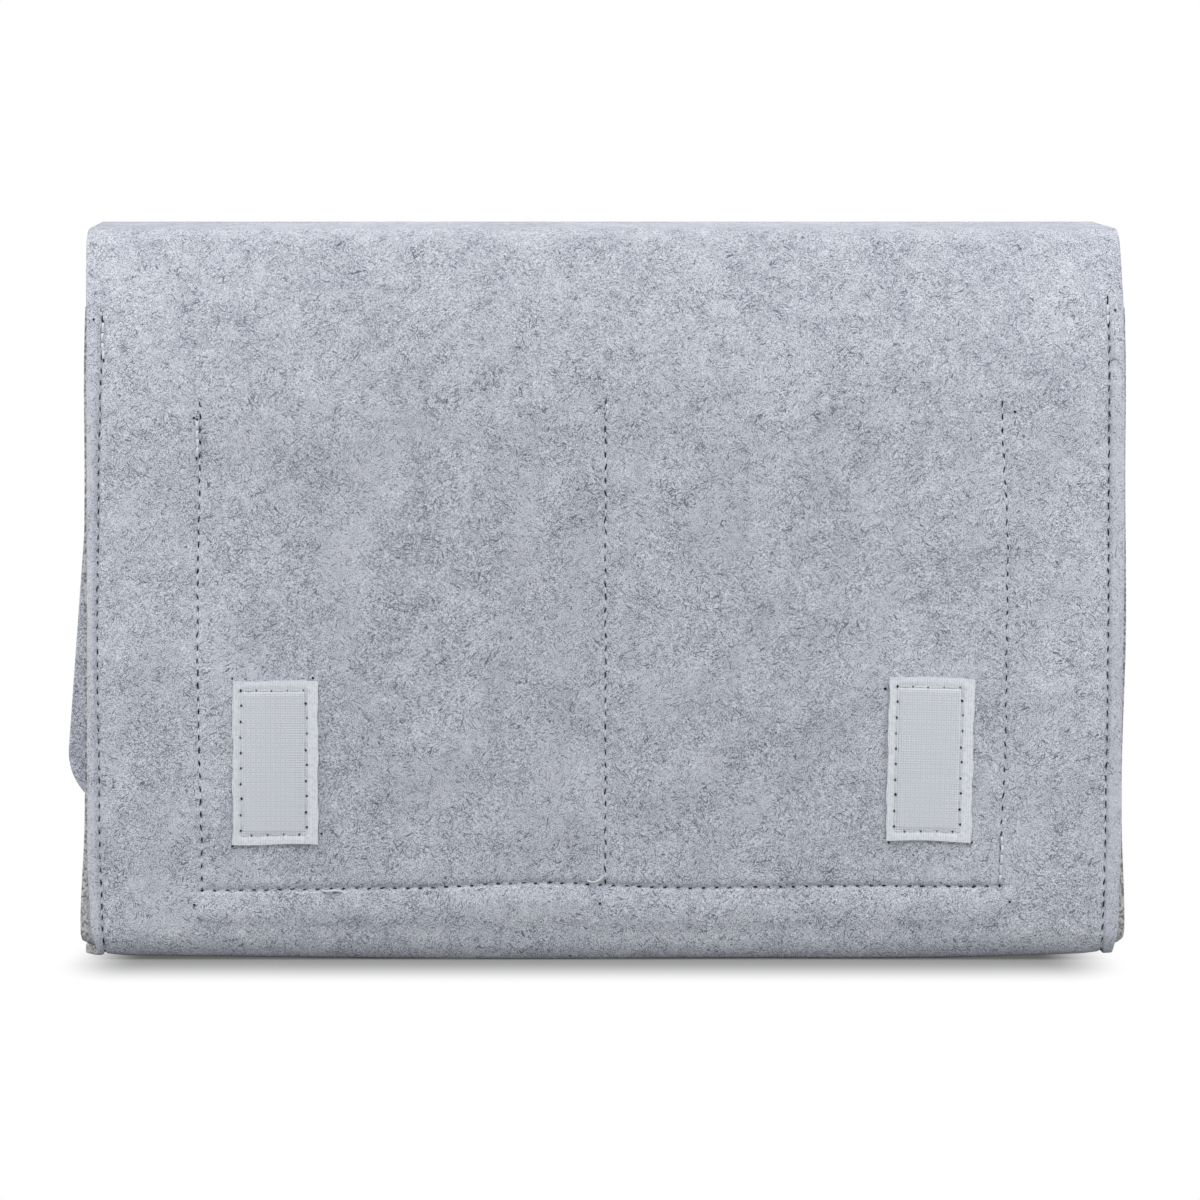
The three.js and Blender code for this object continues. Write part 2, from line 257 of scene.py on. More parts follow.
def tube(line: Array, normal: Array, radius: Any, sides: int = 6) -> Surface:
    """Carries a circle along a line: centre plus radius times cosine across and sine along the normal.

    Args:
        line: Points of the centre line.
        normal: A direction off the surface at each point.
        radius: The tube's radius, one for all or one for each point.
        sides: How many flat sides stand for the circle.

    Returns:
        The closed tube. Its pattern holds the length along, the angle round and 0.
    """
    tangent = np.gradient(line, axis=0)
    tangent /= np.linalg.norm(tangent, axis=1, keepdims=True)
    across = np.cross(tangent, normal)
    across /= np.linalg.norm(across, axis=1, keepdims=True)
    up = np.cross(across, tangent)
    angle = np.linspace(0, 2 * np.pi, sides, endpoint=False)
    reach = np.broadcast_to(radius, len(line))[:, None, None]
    ring = np.cos(angle)[None, :, None] * across[:, None] + np.sin(angle)[None, :, None] * up[:, None]
    steps = np.linalg.norm(np.diff(line, axis=0), axis=1)
    along = np.concatenate([[0], np.cumsum(steps)])
    pattern = np.stack(np.broadcast_arrays(along[:, None], angle[None], 0.0), axis=-1)
    return lofted(line[:, None] + reach * ring, pattern=pattern)


def stamped(shape: Surface, axes: Array, places: Array) -> Surface:
    """Repeats a small shape: each copy is the shape's points times its own axes, plus its own place.

    Args:
        shape: The shape round its own origin.
        axes: For each copy, three row vectors that the shape's axes become.
        places: For each copy, where its origin lies.

    Returns:
        All the copies as one surface.
    """
    copies, size = len(places), len(shape.points)
    points = np.einsum("pk,nkj->npj", shape.points, axes) + places[:, None]
    offsets = (np.arange(copies) * size)[:, None, None]
    return Surface(
        points=points.reshape(-1, 3),
        faces=[(rows[None] + offsets).reshape(-1, rows.shape[1]) for rows in shape.faces],
        pattern=points.reshape(-1, 3),
        cut=np.tile(shape.cut, copies),
    )


def pebble(rings: int = 4, sides: int = 8, cap: float = 0.32) -> Surface:
    """A unit ball of few faces: circles of radius sine theta at height cosine theta, capped near the poles.

    Args:
        rings: Circles from pole to pole.
        sides: Points on each circle.
        cap: Angle from each pole at which the ball is cut flat.

    Returns:
        The closed ball.
    """
    theta = np.linspace(cap, np.pi - cap, rings)[:, None]
    phi = np.linspace(0, 2 * np.pi, sides, endpoint=False)[None]
    around = np.sin(theta) * np.cos(phi), -np.sin(theta) * np.sin(phi)
    return lofted(np.stack(np.broadcast_arrays(*around, np.cos(theta)), axis=-1))


def make_piece(name: str, surface: Surface, material: bpy.types.Material,
               sharp: float = 50.0, weld: bool = False) -> bpy.types.Object:
    """Puts a surface into a mesh object at the origin, smooth but for its sharp edges.

    Args:
        name: The piece's name.
        surface: Its shape in millimetres.
        material: Its finish.
        sharp: Edges that turn by more than this many degrees stay sharp.
        weld: Whether points that lie on each other become one.

    Returns:
        The new object.
    """
    mesh = bpy.data.meshes.new(name)
    faces = [row for rows in surface.faces for row in rows.tolist()]
    mesh.from_pydata((surface.points * MM).tolist(), [], faces)
    pattern = mesh.attributes.new("pattern_mm", "FLOAT_VECTOR", "POINT")
    pattern.data.foreach_set("vector", surface.pattern.astype(np.float32).ravel())
    pressed = np.zeros(len(surface.cut)) if surface.pressed is None else surface.pressed
    for label, values in (("cut_edge", surface.cut), ("pressed", pressed)):
        layer = mesh.attributes.new(label, "FLOAT", "POINT")
        layer.data.foreach_set("value", values.astype(np.float32))
    if weld:
        shell = bmesh.new()
        shell.from_mesh(mesh)
        bmesh.ops.remove_doubles(shell, verts=shell.verts, dist=1e-6)
        shell.to_mesh(mesh)
        shell.free()
    mesh.shade_smooth()
    mesh.set_sharp_from_angle(angle=math.radians(sharp))
    mesh.materials.append(material)
    piece = bpy.data.objects.new(name, mesh)
    bpy.context.scene.collection.objects.link(piece)
    log.info("%s: %d points, %d faces", name, len(mesh.vertices), len(mesh.polygons))
    return piece


# Finishes

@dataclass(frozen=True)
class Finish(ABC):
    """A named material whose nodes draw on a piece's pattern coordinates."""

    name: str

    def material(self) -> bpy.types.Material:
        """Makes the material and shows the finish's own surface on it.

        Returns:
            The material.
        """
        made = bpy.data.materials.new(self.name)
        tree = blank_tree(made)
        place = add_node(tree, "ShaderNodeAttribute", attribute_name="pattern_mm").outputs["Vector"]
        add_node(tree, "ShaderNodeOutputMaterial", {"Surface": self.surface(tree, place).outputs[0]})
        return made

    @abstractmethod
    def surface(self, tree: bpy.types.NodeTree, place: bpy.types.NodeSocket) -> bpy.types.Node:
        """Adds the nodes that one finish is made of.

        Args:
            tree: The material's node tree.
            place: The pattern coordinates, in millimetres.

        Returns:
            The shader node.
        """


@dataclass(frozen=True)
class Grain:
    """One scale of unevenness in a felt's blend: its size in millimetres, noise detail and swing in tone."""

    size: float
    detail: float
    swing: float


@dataclass(frozen=True)
class Hairs:
    """One lie of dark fibres in felt: its angle, a hair's size in millimetres, their number and darkness.

    A single fibre is too fine to show, so a hair is drawn as coarse as a small bundle of them. spread and
    gather are the noise levels between which hairs, and the patches that they gather in, come in.
    """

    turn: float
    width: float = 0.26
    length: float = 4.4
    spread: tuple[float, float] = (0.645, 0.77)
    gather: tuple[float, float] = (0.44, 0.62)
    depth: float = 0.8


@dataclass(frozen=True)
class FeltFinish(Finish):
    """Needled polyester felt in a grey melange, calendered flat.

    To the eye it is matt and slightly woolly. Pale fibres carry a fine salt and pepper speckle, thin dark
    fibres gather in wisps, and the blend drifts in soft clouds. A raw cut edge shows dark fibre ends.
    """

    pale: str
    body: str
    dark: str
    clouds: Grain = Grain(26.0, 2.0, 0.36)
    tufts: Grain = Grain(3.0, 2.0, 0.5)
    specks: Grain = Grain(0.32, 1.0, 2.05)
    mean_tone: float = 0.53
    nap_mm: float = 0.35
    nap_height_mm: float = 0.18
    wisps: tuple[Hairs, ...] = (
        Hairs(0.35), Hairs(1.3), Hairs(2.4),
        Hairs(0.9, width=0.27, length=6.0, spread=(0.68, 0.79), gather=(0.2, 0.5), depth=0.6),
        Hairs(2.1, width=0.27, length=6.0, spread=(0.68, 0.79), gather=(0.2, 0.5), depth=0.6),
    )
    wisp_bend_mm: tuple[float, float] = (5.0, 4.0)
    wisp_gather_mm: float = 9.0
    wisp_apart_mm: tuple[float, float] = (40.0, 90.0)
    fibre_end_mm: float = 0.85
    fibre_end_levels: tuple[float, float] = (0.42, 0.6)
    plain_tone: float = 0.56
    margin_calm: float = 0.45
    raw_pale: str = "#C0BFC0"
    raw_dark: str = "#74757B"

    def surface(self, tree: bpy.types.NodeTree, place: bpy.types.NodeSocket) -> bpy.types.Node:
        """Draws the blend of the fibres, the wisps, the raw edges and the nap.

        Args:
            tree: The material's node tree.
            place: The pattern coordinates, in millimetres.

        Returns:
            The shader node.
        """
        cut = add_node(tree, "ShaderNodeAttribute", attribute_name="cut_edge").outputs["Fac"]
        pressed = add_node(tree, "ShaderNodeAttribute", attribute_name="pressed").outputs["Fac"]
        # Blend of the fibres, from clouds down to specks, each layer's swing taken about its middle
        grains = (self.clouds, self.tufts, self.specks)
        tone: Any = self.mean_tone - sum(grain.swing for grain in grains) / 2
        for grain in grains:
            blend = add_node(tree, "ShaderNodeTexNoise", {
                "Vector": place, "Scale": 1 / grain.size, "Detail": grain.detail, "Roughness": 0.85})
            tone = add_node(tree, "ShaderNodeMath", {
                0: blend.outputs["Fac"], 1: grain.swing, 2: tone}, operation="MULTIPLY_ADD").outputs[0]
        # Wisps: noise drawn out into hairs that lie several ways and bend, only where dark fibres gather
        bend_size, bend = self.wisp_bend_mm
        hairs_apart, gathers_apart = self.wisp_apart_mm
        waves = add_node(tree, "ShaderNodeTexNoise", {"Vector": place, "Scale": 1 / bend_size})
        bent = add_node(tree, "ShaderNodeVectorMath", {
            0: waves.outputs["Color"], 1: (bend,) * 3, 2: place}, operation="MULTIPLY_ADD")
        for wisp in self.wisps:
            hairs = add_node(tree, "ShaderNodeMapping", {
                "Vector": bent.outputs["Vector"], "Location": (hairs_apart * wisp.turn,) * 3,
                "Rotation": (0.0, wisp.turn, 0.0), "Scale": (wisp.width, wisp.width, wisp.length)},
                vector_type="TEXTURE")
            gather = add_node(tree, "ShaderNodeMapping", {
                "Vector": place, "Location": (gathers_apart * wisp.turn,) * 3,
                "Scale": (self.wisp_gather_mm,) * 3}, vector_type="TEXTURE")
            line: Any = 1.0
            for where, detail, (low, high) in ((hairs, 0.0, wisp.spread), (gather, 2.0, wisp.gather)):
                noise = add_node(tree, "ShaderNodeTexNoise", {
                    "Vector": where.outputs["Vector"], "Scale": 1.0, "Detail": detail})
                share = add_node(tree, "ShaderNodeMapRange", {
                    "Value": noise.outputs["Fac"], "From Min": low, "From Max": high},
                    interpolation_type="SMOOTHSTEP")
                line = add_node(tree, "ShaderNodeMath", {
                    0: line, 1: share.outputs[0]}, operation="MULTIPLY").outputs[0]
            tone = add_node(tree, "ShaderNodeMath", {
                0: line, 1: -wisp.depth, 2: tone}, operation="MULTIPLY_ADD").outputs[0]
        # A pressed margin keeps less of the pattern, and a cut edge shows dark fibre ends in close dots
        away = add_node(tree, "ShaderNodeMath", {0: self.plain_tone, 1: tone}, operation="SUBTRACT")
        calm = add_node(tree, "ShaderNodeMath", {0: pressed, 1: self.margin_calm}, operation="MULTIPLY")
        tone = add_node(tree, "ShaderNodeMath", {
            0: away.outputs[0], 1: calm.outputs[0], 2: tone}, operation="MULTIPLY_ADD").outputs[0]
        dots = add_node(tree, "ShaderNodeTexNoise", {"Vector": place, "Scale": 1 / self.fibre_end_mm})
        low, high = self.fibre_end_levels
        ends = add_node(tree, "ShaderNodeMapRange", {
            "Value": dots.outputs["Fac"], "From Min": low, "From Max": high})
        raw = add_node(tree, "ShaderNodeMix", {
            "Factor": ends.outputs[0], "A": linear(self.raw_pale), "B": linear(self.raw_dark)},
            data_type="RGBA")
        ramp = add_node(tree, "ShaderNodeValToRGB", {"Fac": tone})
        ramp.color_ramp.elements[0].color = linear(self.dark)
        ramp.color_ramp.elements[1].color = linear(self.pale)
        ramp.color_ramp.elements.new(0.5).color = linear(self.body)
        colour = add_node(tree, "ShaderNodeMix", {
            "Factor": cut, "A": ramp.outputs["Color"], "B": raw.outputs["Result"]}, data_type="RGBA")
        # Nap: a fine noise stands up from the face
        nap = add_node(tree, "ShaderNodeTexNoise", {"Vector": place, "Scale": 1 / self.nap_mm, "Detail": 1.0})
        bump = add_node(tree, "ShaderNodeBump", {
            "Strength": 0.55, "Distance": self.nap_height_mm * MM, "Height": nap.outputs["Fac"]})
        return add_node(tree, "ShaderNodeBsdfPrincipled", {
            "Base Color": colour.outputs["Result"], "Normal": bump.outputs["Normal"], "Roughness": 0.95,
            "Specular IOR Level": 0.12, "Sheen Weight": 0.12, "Sheen Roughness": 0.6})


@dataclass(frozen=True)
class WovenTapeFinish(Finish):
    """Woven polyester tape, heat-set white.

    To the eye it is a fine, close grid of threads with a dull gleam; the small dark openings where threads
    cross are painted shade.
    """

    thread_colour: str
    # The darkest tone: painted shade in the weave's openings and between ribs, also reached where the tape is
    # randomly worn
    gap_shade_and_wear_colour: str
    thread_mm: float = 0.72
    thread_height_mm: float = 0.1
    gap_shade_levels: tuple[float, float] = (0.2, 0.66)
    rib_shade_tones: tuple[float, float] = (0.8, 1.02)
    wear_mm: float = 1.2
    wear: float = 0.9

    def surface(self, tree: bpy.types.NodeTree, place: bpy.types.NodeSocket) -> bpy.types.Node:
        """Draws the weave from two sets of bands, across and along the tape, with painted shade in the
        openings between threads.

        Args:
            tree: The material's node tree.
            place: The pattern coordinates, in millimetres.

        Returns:
            The shader node.
        """
        weft, warp = (add_node(tree, "ShaderNodeTexWave", {
            "Vector": place, "Scale": BAND_TURN / self.thread_mm, "Distortion": 1.5, "Detail": 2.0,
            "Detail Scale": 0.9}, bands_direction=way).outputs["Fac"] for way in ("Z", "X"))
        grid = add_node(tree, "ShaderNodeMath", {0: weft, 1: warp}, operation="MAXIMUM")
        low, high = self.gap_shade_levels
        # Painted shade: the openings between threads are drawn dark
        gap_shade = add_node(tree, "ShaderNodeMapRange", {
            "Value": grid.outputs[0], "From Min": low, "From Max": high})
        # The selvedge is woven close, so it shows ribs in place of gaps, with painted shade between the ribs
        dark, light = self.rib_shade_tones
        ribs = add_node(tree, "ShaderNodeMapRange", {"Value": warp, "To Min": dark, "To Max": light})
        close = add_node(tree, "ShaderNodeAttribute", attribute_name="pressed").outputs["Fac"]
        tone = add_node(tree, "ShaderNodeMix", {"Factor": close, "A": gap_shade.outputs[0], "B": ribs.outputs[0]})
        uneven = add_node(tree, "ShaderNodeTexNoise", {
            "Vector": place, "Scale": 1 / self.wear_mm, "Detail": 4.0})
        worn = add_node(tree, "ShaderNodeMath", {
            0: uneven.outputs["Fac"], 1: self.wear, 2: -self.wear / 2}, operation="MULTIPLY_ADD")
        tone = add_node(tree, "ShaderNodeMath", {
            0: tone.outputs["Result"], 1: worn.outputs[0]}, operation="ADD", use_clamp=True)
        colour = add_node(tree, "ShaderNodeMix", {
            "Factor": tone.outputs[0], "A": linear(self.gap_shade_and_wear_colour), "B": linear(self.thread_colour)},
            data_type="RGBA")
        bump = add_node(tree, "ShaderNodeBump", {
            "Strength": 0.35, "Distance": self.thread_height_mm * MM, "Height": grid.outputs[0]})
        return add_node(tree, "ShaderNodeBsdfPrincipled", {
            "Base Color": colour.outputs["Result"], "Normal": bump.outputs["Normal"], "Roughness": 0.65,
            "IOR": 1.54, "Specular IOR Level": 0.3, "Sheen Weight": 0.05})


@dataclass(frozen=True)
class FilamentFinish(Finish):
    """Drawn nylon or polyester filament, as in hooks, loops and spun sewing thread.

    To the eye it is pale and slightly shiny, with a twist or unevenness along each strand.
    """

    strand: str
    shade: str
    roughness: float
    twist_mm: float = 0.9
    ply_height_mm: float = 0.06
    ply_share: float = 0.4
    uneven_mm: float = 1.8

    def surface(self, tree: bpy.types.NodeTree, place: bpy.types.NodeSocket) -> bpy.types.Node:
        """Draws slanting bands, which are the plies of a twisted strand, with uneven shade.

        Args:
            tree: The material's node tree.
            place: The pattern coordinates, in millimetres.

        Returns:
            The shader node.
        """
        plies = add_node(tree, "ShaderNodeTexWave", {
            "Vector": place, "Scale": BAND_TURN / self.twist_mm, "Distortion": 0.4},
            bands_direction="DIAGONAL")
        uneven = add_node(tree, "ShaderNodeTexNoise", {
            "Vector": place, "Scale": 1 / self.uneven_mm, "Detail": 2.0})
        tone = add_node(tree, "ShaderNodeMath", {
            0: plies.outputs["Fac"], 1: self.ply_share, 2: uneven.outputs["Fac"]},
            operation="MULTIPLY_ADD", use_clamp=True)
        colour = add_node(tree, "ShaderNodeMix", {
            "Factor": tone.outputs[0], "A": linear(self.shade), "B": linear(self.strand)}, data_type="RGBA")
        bump = add_node(tree, "ShaderNodeBump", {
            "Strength": 0.5, "Distance": self.ply_height_mm * MM, "Height": plies.outputs["Fac"]})
        return add_node(tree, "ShaderNodeBsdfPrincipled", {
            "Base Color": colour.outputs["Result"], "Normal": bump.outputs["Normal"],
            "Roughness": self.roughness, "IOR": 1.53, "Specular IOR Level": 0.35})


@dataclass(frozen=True)
class NeedleHoleShadeFinish(Finish):
    """Painted shade inside a needle hole in felt: a dark ground with no gloss, with a few paler fibres across
    it.
    """

    shade_colour: str
    fibre_colour: str
    fibre_mm: float = 0.35
    fibre_levels: tuple[float, float] = (0.52, 0.8)

    def surface(self, tree: bpy.types.NodeTree, place: bpy.types.NodeSocket) -> bpy.types.Node:
        """Draws a dark ground of painted shade with fine pale fibres.

        Args:
            tree: The material's node tree.
            place: The pattern coordinates, in millimetres.

        Returns:
            The shader node.
        """
        fibres = add_node(tree, "ShaderNodeTexNoise", {
            "Vector": place, "Scale": 1 / self.fibre_mm, "Detail": 1.0})
        low, high = self.fibre_levels
        few = add_node(tree, "ShaderNodeMapRange", {
            "Value": fibres.outputs["Fac"], "From Min": low, "From Max": high})
        colour = add_node(tree, "ShaderNodeMix", {
            "Factor": few.outputs[0], "A": linear(self.shade_colour), "B": linear(self.fibre_colour)},
            data_type="RGBA")
        return add_node(tree, "ShaderNodeBsdfPrincipled", {
            "Base Color": colour.outputs["Result"], "Roughness": 1.0, "Specular IOR Level": 0.0})


# The felt strip

@dataclass
class FeltPath:
    """Middle line of the long felt strip, seen from the side.

    It is set out as lengths that each turn by an angle. A heading of 0 runs up and turns towards the front,
    and the line is the running sum of sine of heading in Y and cosine of heading in Z.
    """

    depth: float
    mouth: float
    roll: float
    roll_ease: float
    press: float
    felt: float
    lean_start: float
    lean: float
    lean_length: float
    rear_reach: float
    front_reach: float
    pitch: float
    apron_y: float
    apron_end: float
    stations: dict[str, float] = field(default_factory=dict)

    LEGS = ("front", "front_roll", "base", "rear_roll", "rear", "lean", "fold_a", "fold_b",
            "bridge", "fold_c", "fold_d", "apron")
    STEPS = 400
    TRIMS = 3

    def __post_init__(self) -> None:
        """Sets the strip out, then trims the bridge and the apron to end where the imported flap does."""
        bridge, apron = self.depth / 2, self.mouth
        for _ in range(self.TRIMS):
            self._set_out(bridge, apron)
            bridge += (self.apron_y - self.y[-1]) / math.cos(self.pitch)
            apron += self.z[-1] - self.apron_end
        self._set_out(bridge, apron)

    def _fold_length(self, turn: float, reach: float) -> float:
        """Gives the felt length of an eased fold whose straight ends would meet a reach away.

        Args:
            turn: The fold's angle in radians.
            reach: How far each end of the fold is from where the straight felt would meet.

        Returns:
            The length along the felt.
        """
        share = smoothstep(np.linspace(0, 1, self.STEPS), 0, 1) - 0.5
        return 2 * reach * math.cos(turn / 2) / np.cos(turn * share).mean()

    def _set_out(self, bridge: float, apron: float) -> None:
        """Lays the lengths end to end and sums them into a line.

        Args:
            bridge: Length of felt between the two folds.
            apron: Length of felt below the front fold.
        """
        quarter = math.pi / 2
        share = np.linspace(0, 1, self.STEPS)
        slow = share ** self.roll_ease
        roll_high = self.roll * np.cos(quarter * slow).mean()
        roll_deep = self.roll * np.sin(quarter * slow).mean()
        base_z = self.felt / 2 - self.press
        rear = (quarter - self.pitch - self.lean) / 2
        front = (quarter + self.pitch) / 2
        turns = [0, quarter, 0, quarter, 0, self.lean, rear, rear, 0, front, front, 0]
        rear_fold = self._fold_length(rear, self.rear_reach)
        front_fold = self._fold_length(front, self.front_reach)
        lengths = [
            self.mouth - base_z - roll_high, self.roll, self.depth - self.felt - 2 * roll_deep, self.roll,
            self.lean_start - base_z - roll_high, self.lean_length, rear_fold, rear_fold, bridge, front_fold,
            front_fold, apron,
        ]
        easing = {"front_roll": slow, "rear_roll": 1 - slow[::-1]}
        easing |= {name: smoothstep(share, 0, 1) for name in self.LEGS if name.startswith("fold")}
        ends = np.concatenate([[0], np.cumsum(lengths)])
        headings = math.pi + np.concatenate([[0], np.cumsum(turns)])
        self.s = np.concatenate([a + length * share for a, length in zip(ends, lengths)])
        self.heading = np.concatenate([
            start + turn * easing.get(name, share) for name, start, turn in zip(self.LEGS, headings, turns)
        ])
        step = np.diff(self.s)
        mean = (self.heading[1:] + self.heading[:-1]) / 2
        start_y = (self.depth - self.felt) / 2
        self.y = start_y + np.concatenate([[0], np.cumsum(np.sin(mean) * step)])
        self.z = self.mouth + np.concatenate([[0], np.cumsum(np.cos(mean) * step)])
        self.stations = dict(zip(self.LEGS, ends)) | {"end": ends[-1]}

    def at(self, s: Array) -> tuple[Array, Array, Array]:
        """Reads the line at lengths along the felt.

        Args:
            s: Lengths from the front mouth.

        Returns:
            Y, Z and heading there.
        """
        return np.interp(s, self.s, self.y), np.interp(s, self.s, self.z), np.interp(s, self.s, self.heading)

    def rear_station(self, height: Any) -> Any:
        """Gives the length along the felt at which the rear panel has a height."""
        rear = (self.s >= self.stations["rear_roll"]) & (self.s <= self.stations["fold_b"])
        return np.interp(height, self.z[rear], self.s[rear])


@dataclass(frozen=True)
class Fade:
    """A size that lessens with height: whole up to low and gone from high on. Millimetres."""

    size: float
    low: float
    high: float

    def at(self, height: Array) -> Array:
        """Gives what is left of the size at each height."""
        return self.size * (1 - smoothstep(height, self.low, self.high))


@dataclass(frozen=True)
class SeamLine:
    """A sewn line on the rear panel: one coordinate, eased from point to point along the other."""

    along: tuple[float, ...]
    across: tuple[float, ...]

    def at(self, where: Array) -> Array:
        """Reads the curve, held at its end values beyond its ends.

        Args:
            where: Places along the line.

        Returns:
            The other coordinate there.
        """
        knots, values = np.array(self.along), np.array(self.across)
        left = np.clip(np.searchsorted(knots, where) - 1, 0, len(knots) - 2)
        share = smoothstep(where, knots[left], knots[left + 1])
        return values[left] + (values[left + 1] - values[left]) * share


@dataclass
class SeamPlan:
    """Where the seams run on the felt, and how far they pull its outer face in.

    The pairs named end, foot, flat or rim are where a change along the felt begins and where it is complete.
    """

    path: FeltPath
    half_width: float
    pitch: float = 3.8
    side_left: SeamLine = SeamLine((5, 45, 95, 140, 187), (-148.2, -148.9, -149.4, -148.9, -147.9))
    side_right: SeamLine = SeamLine((5, 40, 90, 190), (146.2, 147.1, 147.8, 147.9))
    pocket_left: SeamLine = SeamLine((22, 90, 163), (-118.6, -119.9, -119.0))
    pocket_right: SeamLine = SeamLine((22, 70, 120, 163), (115.9, 117.7, 118.2, 116.5))
    pocket_bottom: SeamLine = SeamLine((-118.6, -62, -19, 27, 75, 115.9),
                                       (19.5, 20.3, 21.9, 20.4, 21.0, 20.8))
    pocket_top: float = 162.6
    divider_top: float = 163.0
    side_front: float = 148.0
    groove: float = 0.7
    groove_width: float = 0.58
    hole_share: float = 0.28
    hollow: float = 0.5
    open_hollow: float = 4.0
    margin_hollow: float = 0.6
    bottom_hollow: float = 1.6
    bulge: float = 0.65
    bulge_width: float = 7.0
    margin_crown: float = 0.05
    margin_fall: float = 0.75
    pocket_pull: float = 0.75
    divider_pull: float = 0.6
    bottom_pull: float = 0.95
    bottom_middle: float = -1.3
    mouth_fade: float = 6.0
    roll_blend: float = 4.0
    side_end: tuple[float, float] = (184.0, 194.0)
    margin_flat: tuple[float, float] = (2.0, 10.0)
    margin_rim: tuple[float, float] = (0.2, 1.0)
    margin_end: tuple[float, float] = (150.0, 200.0)
    pocket_foot: tuple[float, float] = (17.0, 21.0)
    pocket_end: tuple[float, float] = (158.0, 166.0)
    bottom_end: tuple[float, float] = (116.0, 121.0)

    def side(self, s: Array, right: bool) -> Array:
        """Gives the X of a side seam all along the felt: the photographed line behind, straight elsewhere.

        Args:
            s: Lengths along the felt.
            right: Which side.

        Returns:
            The seam's place across.
        """
        height = self.path.at(s)[1]
        line = (self.side_right if right else self.side_left).at(height)
        plain = self.side_front if right else -self.side_front
        behind = smoothstep(s, self.path.stations["base"], self.path.stations["rear"])
        return plain + (line - plain) * behind

    def pull(self, off: Array, along: Array, depth: float, hollow_width: Any) -> Array:
        """Gives how far stitches pull felt in: a narrow groove that is deeper at each hole, in a wide hollow.

        Args:
            off: Distance from the seam line.
            along: Distance along it, 0 at a needle hole.
            depth: A share of the full depth.
            hollow_width: How wide the hollow is.

        Returns:
            Depth below the plain face.
        """
        holes = 1 - self.hole_share + self.hole_share * np.cos(2 * np.pi * along / self.pitch)
        narrow = self.groove * holes * np.exp(-(off / self.groove_width) ** 2)
        return depth * (narrow + self.hollow * np.exp(-(off / hollow_width) ** 2))

    def relief(self, x: Array, s: Array) -> Array:
        """Gives the outer face's offset: minus the pull of every seam, with the sewn margins rounded over.

        Args:
            x: Places across the felt.
            s: Lengths along the felt.

        Returns:
            Offset along the outward normal.
        """
        x, s = np.broadcast_arrays(x, s)
        height = self.path.at(s)[1]
        marks = self.path.stations
        sewn = smoothstep(s, 0, self.mouth_fade)
        sewn = sewn * (1 - smoothstep(height, *self.side_end) * (s > marks["rear"]))
        offset = np.zeros(x.shape)
        for right in (False, True):
            off = x - self.side(s, right)
            outward = off if right else -off
            hollow = np.where(outward > 0, self.margin_hollow, self.open_hollow)
            offset -= sewn * self.pull(off, s, 1.0, hollow)
            margin = self.half_width - np.abs(self.side(s, right))
            rounded = np.clip(outward / margin, 0, 1)
            fall = self.margin_fall * rounded ** 3 * smoothstep(height, *self.margin_flat)
            offset += sewn * (self.margin_crown * np.sin(np.pi * rounded) - fall)
        behind = smoothstep(s, marks["rear"] - self.roll_blend, marks["rear"])
        inside = behind * smoothstep(height, *self.pocket_foot) * (1 - smoothstep(height, *self.pocket_end))
        for line in (self.pocket_left, self.pocket_right):
            off, along = x - line.at(height), height - self.pocket_top
            offset -= inside * self.pull(off, along, self.pocket_pull, self.open_hollow)
        offset -= inside * self.pull(x, height - self.divider_top, self.divider_pull, self.open_hollow)
        bottom = behind * (1 - smoothstep(np.abs(x - self.bottom_middle), *self.bottom_end))
        above = height - self.pocket_bottom.at(x)
        hollow = np.where(above > 0, self.bottom_hollow, self.open_hollow)
        offset -= bottom * self.pull(above, x, self.bottom_pull, hollow)
        offset += bottom * self.bulge * np.exp(-((above + self.bulge_width) / self.bulge_width) ** 2)
        return offset

    def margin(self, x: Array, s: Array) -> Array:
        """Gives 1 on the sewn margins outside the side seams, where the felt is pressed smooth."""
        outside = np.maximum(x - self.side(s, True), self.side(s, False) - x)
        sewn = 1 - smoothstep(self.path.at(s)[1], *self.margin_end) * (s > self.path.stations["rear"])
        return smoothstep(outside, *self.margin_rim) * sewn


@dataclass(frozen=True)
class FeltGrid:
    """How far apart the strip's points are: rows along its stretches, then columns across. Millimetres."""

    plain: float = 4.0
    front_roll: float = 1.2
    rear_roll: float = 1.0
    bottom_seam: float = 0.5
    sewn: float = 0.95
    above_seams: float = 1.6
    rear_fold: float = 0.3
    bridge: float = 1.5
    front_fold: float = 0.7
    apron_fold: float = 0.8
    outer_columns: float = 1.45
    inner_columns: float = 7.0
    flap_columns: float = 4.0
    seam_columns: float = 0.55
    seam_reach: float = 3.2


